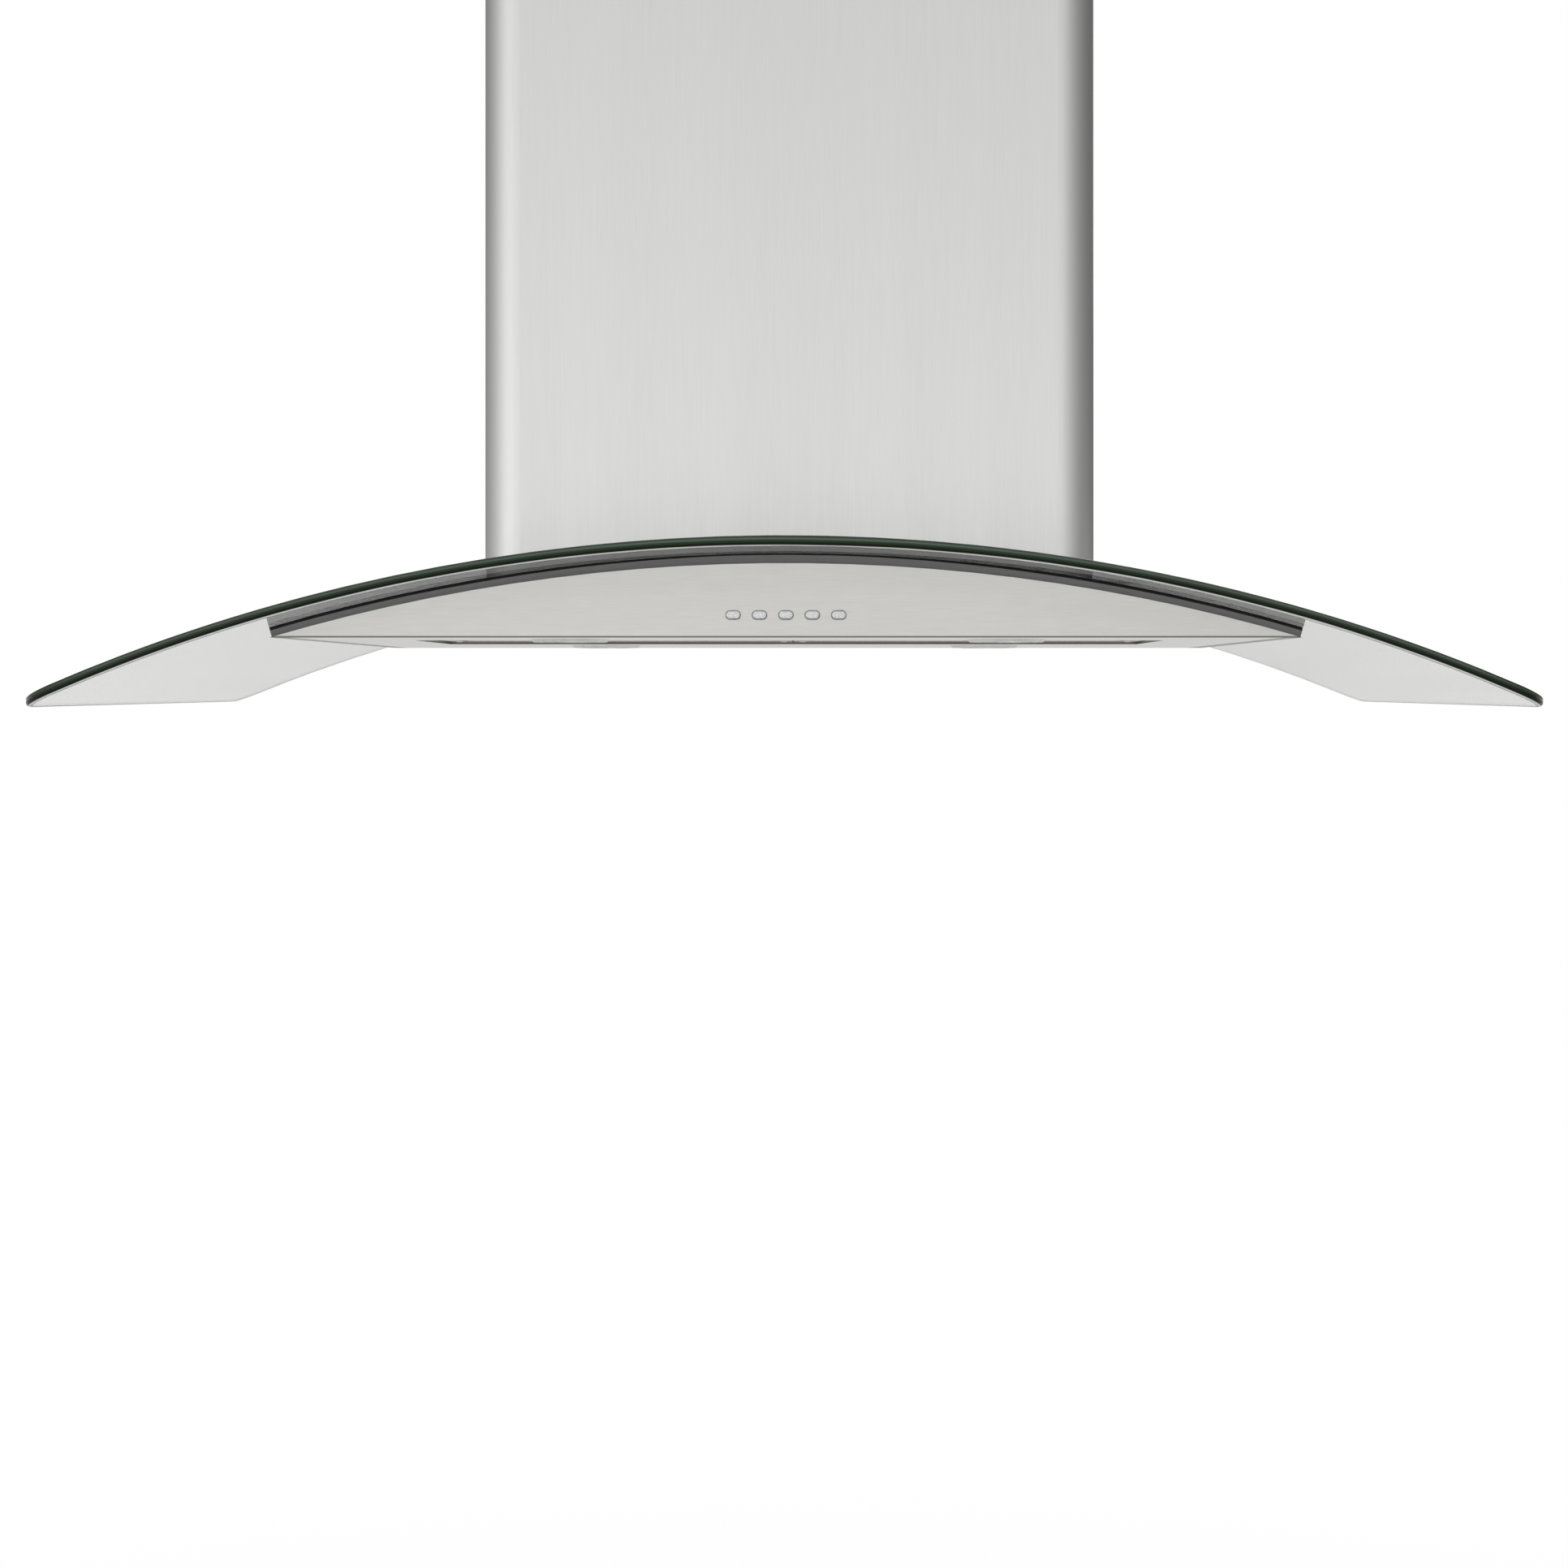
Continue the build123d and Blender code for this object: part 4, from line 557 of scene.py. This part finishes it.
def expanded_sheets():
    """Expanded metal in three sheets of leaning lozenges: a coarse one between two fine ones."""
    tree = Tree(
        "expanded_sheets",
        width=0.2,
        depth=0.1,
        fine_length=0.0046,
        fine_breadth=0.0027,
        coarse_length=0.0092,
        coarse_breadth=0.0054,
        strand_width=0.0007,
        strand_thickness=0.0004,
        sheet_gap=0.0024,
        lean=0.5,
    )
    section = tree.add("GeometryNodeCurvePrimitiveQuadrilateral")
    tree.join(tree.given("strand_width"), section.inputs["Width"])
    tree.join(tree.given("strand_thickness"), section.inputs["Height"])
    leaning = tree.add("GeometryNodeTransform")
    tree.join(section.outputs["Curve"], leaning.inputs["Geometry"])
    tree.join(tree.vector(0.0, 0.0, tree.given("lean")), leaning.inputs["Rotation"])

    def sheet(length, breadth):
        ring = tree.add("GeometryNodeCurvePrimitiveCircle")
        ring.inputs["Resolution"].default_value = 4
        ring.inputs["Radius"].default_value = 1.0
        lozenge = tree.add("GeometryNodeTransform")
        tree.join(ring.outputs["Curve"], lozenge.inputs["Geometry"])
        half = tree.vector(tree.math("DIVIDE", length, 2.0), tree.math("DIVIDE", breadth, 2.0), 1.0)
        tree.join(half, lozenge.inputs["Scale"])
        strand = tree.add("GeometryNodeCurveToMesh")
        tree.join(lozenge.outputs[0], strand.inputs["Curve"])
        tree.join(leaning.outputs[0], strand.inputs["Profile Curve"])
        grid = tree.add("GeometryNodeMeshGrid")
        for way, size, step in (("X", "width", length), ("Y", "depth", breadth)):
            whole = tree.given(size)
            tree.join(tree.math("SUBTRACT", whole, step), grid.inputs[f"Size {way}"])
            count = tree.math("FLOOR", tree.math("DIVIDE", whole, step))
            tree.join(count, grid.inputs[f"Vertices {way}"])
        return tree.repeat(grid.outputs["Mesh"], strand.outputs["Mesh"])

    gap = tree.given("sheet_gap")
    outer = tree.add("GeometryNodeMeshLine")
    outer.inputs["Count"].default_value = 2
    tree.join(tree.vector(0.0, 0.0, tree.math("MULTIPLY", gap, -1.0)), outer.inputs["Start Location"])
    tree.join(tree.vector(0.0, 0.0, tree.math("MULTIPLY", gap, 2.0)), outer.inputs["Offset"])
    fine = tree.repeat(outer.outputs["Mesh"], sheet(tree.given("fine_length"), tree.given("fine_breadth")))
    joined = tree.add("GeometryNodeJoinGeometry")
    tree.join(sheet(tree.given("coarse_length"), tree.given("coarse_breadth")), joined.inputs[0])
    tree.join(fine, joined.inputs[0])
    tree.close(joined.outputs[0])
    return tree


def set_of(name, shape):
    """One shape set at every point, turned as the point says."""
    tree = Tree(name, shape=shape)
    source = tree.add("GeometryNodeObjectInfo")
    tree.join(tree.given("shape"), source.inputs["Object"])
    points = tree.socket("Points", "Geometry")
    tree.tree.interface.move(points, 0)
    turn = tree.add("GeometryNodeInputNamedAttribute", data_type="FLOAT_VECTOR")
    turn.inputs["Name"].default_value = "turn"
    tree.close(tree.repeat(tree.given("Points"), source.outputs["Geometry"], turn.outputs["Attribute"]))
    return tree


def spun(profile, steps):
    """A closed shape turned about Z from a profile of (radius, height)."""
    shape = bmesh.new()
    angles = [2.0 * pi * step / steps for step in range(steps)]
    loops = []
    for radius, height in profile:
        if radius == 0.0:
            loops.append([shape.verts.new((0.0, 0.0, height))])
        else:
            loops.append([shape.verts.new((radius * cos(a), radius * sin(a), height)) for a in angles])
    for lower, upper in zip(loops, loops[1:]):
        for step in range(steps):
            after = (step + 1) % steps
            if len(lower) == 1:
                shape.faces.new((lower[0], upper[after], upper[step]))
            elif len(upper) == 1:
                shape.faces.new((lower[step], lower[after], upper[0]))
            else:
                shape.faces.new((lower[step], lower[after], upper[after], upper[step]))
    return shape, loops


def kept(shape, name):
    """The shape as an object, with its faces pointing outwards."""
    bmesh.ops.recalc_face_normals(shape, faces=shape.faces)
    mesh = bpy.data.meshes.new(name)
    shape.to_mesh(mesh)
    shape.free()
    piece = bpy.data.objects.new(name, mesh)
    scene.collection.objects.link(piece)
    return piece


SCREW_HEAD_HEIGHT = 0.0020
SCREW_HEAD_RADIUS = 0.0038


def pan_screw():
    """Pan-head screw along Z, its head above zero, with a cross recess and a ringed shank."""
    steps = 24
    shank = 0.0019
    thread_depth = 0.0004
    pitch = 0.0012
    length = 0.0070
    tip = 0.0007
    tip_height = 0.0008
    profile = [(0.0, -length), (tip, -length)]
    for turn in range(4):
        foot = -length + tip_height + turn * pitch
        profile += [(shank - thread_depth, foot), (shank, foot + pitch / 2.0)]
    profile += [
        (shank, 0.0), (SCREW_HEAD_RADIUS, 0.0), (SCREW_HEAD_RADIUS, 0.0005),
        (0.0035, 0.0013), (0.0029, 0.0018), (0.0024, SCREW_HEAD_HEIGHT),
    ]
    shape, loops = spun(profile, steps)
    rim = loops[-1]
    long = 0.0017
    short = 0.00042
    recess = 0.0011
    taper = 0.6
    corners = [
        (long, -short), (long, short), (short, short), (short, long), (-short, long), (-short, short),
        (-long, short), (-long, -short), (-short, -short), (-short, -long), (short, -long), (short, -short),
    ]
    cross = [shape.verts.new((x, y, SCREW_HEAD_HEIGHT)) for x, y in corners]
    floor = [shape.verts.new((taper * x, taper * y, SCREW_HEAD_HEIGHT - recess)) for x, y in corners]
    count = len(corners)
    edges = [shape.edges.get((rim[step], rim[(step + 1) % steps])) for step in range(steps)]
    for step in range(count):
        after = (step + 1) % count
        edges.append(shape.edges.new((cross[step], cross[after])))
        shape.faces.new((cross[step], floor[step], floor[after], cross[after]))
    shape.faces.new(floor)
    bmesh.ops.triangle_fill(shape, use_beauty=True, edges=edges)
    return kept(shape, "pan_screw")


def dome_rivet():
    """Small domed rivet head that stands below zero."""
    profile = [
        (0.0, 0.0006), (0.0016, 0.0006), (0.0026, 0.0),
        (0.0024, -0.0003), (0.0016, -0.0005), (0.0, -0.0006),
    ]
    shape, _ = spun(profile, 16)
    return kept(shape, "dome_rivet")


def button_sleeve():
    """Thin sleeve for a push button, along Y in the canopy's hole, with its lip at zero."""
    half_straight = 0.0018
    inner = 0.00275
    outer = 0.00308
    depth = 0.0009
    edge = 0.0001
    steps = 16
    section = [(inner, depth), (inner, edge), (inner + edge, 0.0), (outer, 0.0), (outer, depth)]
    shape = bmesh.new()
    loops = []
    for radius, y in section:
        loop = []
        for end in (1, -1):
            for step in range(steps + 1):
                angle = pi * (step / steps - end / 2.0)
                place = (end * half_straight + radius * cos(angle), y, radius * sin(angle))
                loop.append(shape.verts.new(place))
        loops.append(loop)
    count = len(loops[0])
    for near, far in zip(loops, loops[1:] + loops[:1]):
        for step in range(count):
            after = (step + 1) % count
            shape.faces.new((near[step], near[after], far[after], far[step]))
    return kept(shape, "button_sleeve")


def chimney_screws(tree, name, node, body):
    """The four screws of one chimney, set where the node has them, each turned a little further."""
    low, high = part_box(node)
    side = high[0] - SCREW_HEAD_HEIGHT
    spread = high[1] - SCREW_HEAD_RADIUS
    points = []
    for sx in (-1, 1):
        for sy in (-1, 1):
            place = (sx * side, sy * spread, (low[2] + high[2]) / 2.0)
            points.append((place, (0.0, sx * pi / 2.0, 0.35 * sy + 0.2 * sx)))
    piece = tree.make(name, finishes["zinc_hardware"], Vector(), points)
    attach(piece, body)
    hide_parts(node)


screw = pan_screw()
screw_tree = set_of("screws_in_chimney", screw)
chimney_screws(screw_tree, "upper_cross_screws", "upper_chimney_screws", "ceiling_frame")
chimney_screws(screw_tree, "lower_cross_screws", "lower_chimney_screws", "hood")
bpy.data.objects.remove(screw)

UNTURNED = (0.0, 0.0, 0.0)

sleeve = button_sleeve()
sleeve_places = []
for number in range(1, 6):
    low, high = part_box(f"button_{number}")
    place = ((low[0] + high[0]) / 2.0, CANOPY_FRONT_Y, (low[2] + high[2]) / 2.0)
    sleeve_places.append((place, UNTURNED))
sleeves = set_of("sleeves_round_buttons", sleeve).make(
    "button_sleeves", finishes["canopy_steel"], Vector(), sleeve_places
)
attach(sleeves, "hood")
bpy.data.objects.remove(sleeve)

RIVET_PAST_MESH = 0.0032

rivet = dome_rivet()
rivet_tree = set_of("rivets_in_filter_bars", rivet)
mesh_tree = expanded_sheets()
for side in ("left", "right"):
    low, high = (Vector(corner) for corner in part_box(f"filter_mesh_{side}"))
    middle = (low + high) / 2.0
    size = high - low
    weave = mesh_tree.make(
        f"expanded_mesh_{side}", finishes["mesh_aluminium"], middle, width=size.x, depth=size.y
    )
    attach(weave, f"filter_{side}")
    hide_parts(f"filter_mesh_{side}")
    bar_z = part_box(f"filter_frame_{side}")[0][2]
    corners = [
        ((x, y, bar_z), UNTURNED)
        for x in (low.x - RIVET_PAST_MESH, high.x + RIVET_PAST_MESH)
        for y in (low.y - RIVET_PAST_MESH, high.y + RIVET_PAST_MESH)
    ]
    rivets = rivet_tree.make(f"filter_rivets_{side}", finishes["filter_aluminium"], Vector(), corners)
    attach(rivets, f"filter_{side}")
bpy.data.objects.remove(rivet)


# Studio
FLOOR_Z = -2.35
FLOOR_HALF_WIDTH = 120.0
WALL_LEVELS = (             # direction from the front in degrees, and grey
    (-180, 0.55), (-135, 0.44), (-108, 0.48), (-84, 0.66), (-64, 0.96), (-46, 1.20),
    (-30, 1.18), (-14, 1.02), (17, 1.0), (26, 0.86), (39, 0.69), (54, 0.51),
    (71, 0.37), (90, 0.28), (113, 0.22), (142, 0.25), (180, 0.55),
)


class Studio(Nodes):
    """A node tree of the stage, with the kinds of ray that tell what looks at it."""

    def __init__(self, tree):
        super().__init__(tree)
        self.path = self.add("ShaderNodeLightPath").outputs

    def seen(self, reflected):
        """One for the camera's rays and those through glass, and a share for reflections."""
        through = self.math("MAXIMUM", self.path["Is Camera Ray"], self.path["Is Transmission Ray"])
        glossy = self.math("MULTIPLY", self.path["Is Glossy Ray"], reflected)
        return self.math("MAXIMUM", through, glossy)

    def mix(self, share, first, second, output):
        node = self.add("ShaderNodeMixShader")
        for source, target in zip((share, first.outputs[0], second.outputs[0]), node.inputs):
            self.join(source, target)
        self.join(node.outputs[0], self.tree.nodes[output].inputs["Surface"])


def stage_material(name):
    """An empty material for the stage, which isn't sampled as a light, and its tree."""
    material = bpy.data.materials.new(name)
    material.use_nodes = True
    material.cycles.emission_sampling = "NONE"
    tree = material.node_tree
    tree.nodes.remove(tree.nodes["Principled BSDF"])
    return material, Studio(tree)


def stage_object(name, corners, faces, material):
    """A part of the stage, which isn't part of the hood."""
    mesh = bpy.data.meshes.new(name)
    mesh.from_pydata(corners, [], faces)
    mesh.materials.append(material)
    thing = bpy.data.objects.new(name, mesh)
    scene.collection.objects.link(thing)
    return thing


def pale_floor():
    """Matt floor that takes the shadow near the hood and turns plain white further out."""
    material, studio = stage_material("pale_floor")
    matt = studio.add("ShaderNodeBsdfDiffuse")
    matt.inputs["Color"].default_value = (0.84, 0.84, 0.835, 1.0)
    glow = studio.add("ShaderNodeEmission")
    place = studio.add("ShaderNodeTexCoord").outputs["Object"]
    flat = studio.vectors("MULTIPLY", place, (1.0, 1.0, 0.0))["Vector"]
    away = studio.vectors("LENGTH", flat)["Value"]
    fade = studio.span(away, 0.78, 1.0, start=0.8, end=3.0, smooth=True)
    studio.mix(studio.math("MULTIPLY", studio.seen(0.10), fade), matt, glow, "Material Output")
    half = FLOOR_HALF_WIDTH
    corners = [(x, y, FLOOR_Z) for x, y in ((half, half), (-half, half), (-half, -half), (half, -half))]
    stage_object("floor", corners, [(0, 1, 2, 3)], material)


def surrounding_wall(radius, front_low, rear_low, high, steps):
    """Round wall that only reflections see, with a grey for each direction from the front.

    It is darker higher up. Its rear half stays clear of what the underside of the glass mirrors.
    """
    material, studio = stage_material("surrounding_wall")
    x, y, z = studio.split(studio.add("ShaderNodeTexCoord").outputs["Object"])
    turn = studio.math("ARCTAN2", x, studio.math("MULTIPLY", y, -1.0))
    turn = studio.math("ADD", studio.math("DIVIDE", turn, 2.0 * pi), 0.5)
    stops = [(angle / 360.0 + 0.5, (level, level, level)) for angle, level in WALL_LEVELS]
    glow = studio.add("ShaderNodeEmission")
    studio.join(studio.ramp(turn, stops), glow.inputs["Color"])
    studio.join(studio.span(z, 1.14, 0.80, start=-1.0, end=1.2), glow.inputs["Strength"])
    studio.join(glow.outputs[0], studio.tree.nodes["Material Output"].inputs["Surface"])
    angles = [2.0 * pi * step / steps for step in range(steps)]
    foot = [(radius * cos(a), radius * sin(a), front_low if sin(a) < 0.0 else rear_low) for a in angles]
    head = [(x, y, high) for x, y, _ in foot]
    faces = [(i, (i + 1) % steps, (i + 1) % steps + steps, i + steps) for i in range(steps)]
    wall = stage_object("surrounding_wall", foot + head, faces, material)
    wall.visible_camera = False
    wall.visible_diffuse = False
    wall.visible_transmission = False
    wall.visible_volume_scatter = False
    wall.visible_shadow = False


pale_floor()
surrounding_wall(radius=4.0, front_low=FLOOR_Z, rear_low=-0.85, high=4.2, steps=180)

world = bpy.data.worlds.new("studio")
scene.world = world
world.use_nodes = True
air = Studio(world.node_tree)
soft = air.tree.nodes["Background"]
soft.inputs["Color"].default_value = (0.70, 0.70, 0.70, 1.0)
white = air.add("ShaderNodeBackground")
white.inputs["Color"].default_value = (1.0, 1.0, 1.0, 1.0)
air.mix(air.seen(1.0), soft, white, "World Output")

HOOD_MIDDLE = Vector((0.0, 0.0, -0.75))


def softbox(name, place, width, height, radiance, mirrored):
    """Soft light that looks at the middle of the hood. Only a mirrored one shows in reflections."""
    light = bpy.data.lights.new(name, "AREA")
    light.shape = "RECTANGLE"
    light.size = width
    light.size_y = height
    light.energy = radiance * pi * width * height
    lamp = bpy.data.objects.new(name, light)
    lamp.location = place
    lamp.visible_glossy = mirrored
    lamp.rotation_euler = (HOOD_MIDDLE - Vector(place)).to_track_quat("-Z", "Y").to_euler()
    scene.collection.objects.link(lamp)


softbox("key_softbox", (-1.0, -1.9, 0.75), width=1.6, height=0.9, radiance=1.6, mirrored=False)
softbox("fill_softbox", (2.0, -1.6, 0.1), width=1.2, height=1.6, radiance=0.7, mirrored=False)
softbox("rear_softbox", (0.4, 2.4, 0.3), width=1.8, height=1.2, radiance=1.0, mirrored=True)

# The photograph's view: a level camera a little below the canopy, with its frame shifted.
lens = bpy.data.cameras.new("photo_view")
lens.sensor_width = 36.0
lens.lens = 58.95
lens.shift_x = -0.0364
lens.shift_y = -0.0633
lens.clip_end = 300.0
camera = bpy.data.objects.new("photo_view", lens)
camera.location = (0.0334, -1.7751, -0.9161)
camera.rotation_euler = (pi / 2.0, 0.0, 0.0)
scene.collection.objects.link(camera)
scene.camera = camera
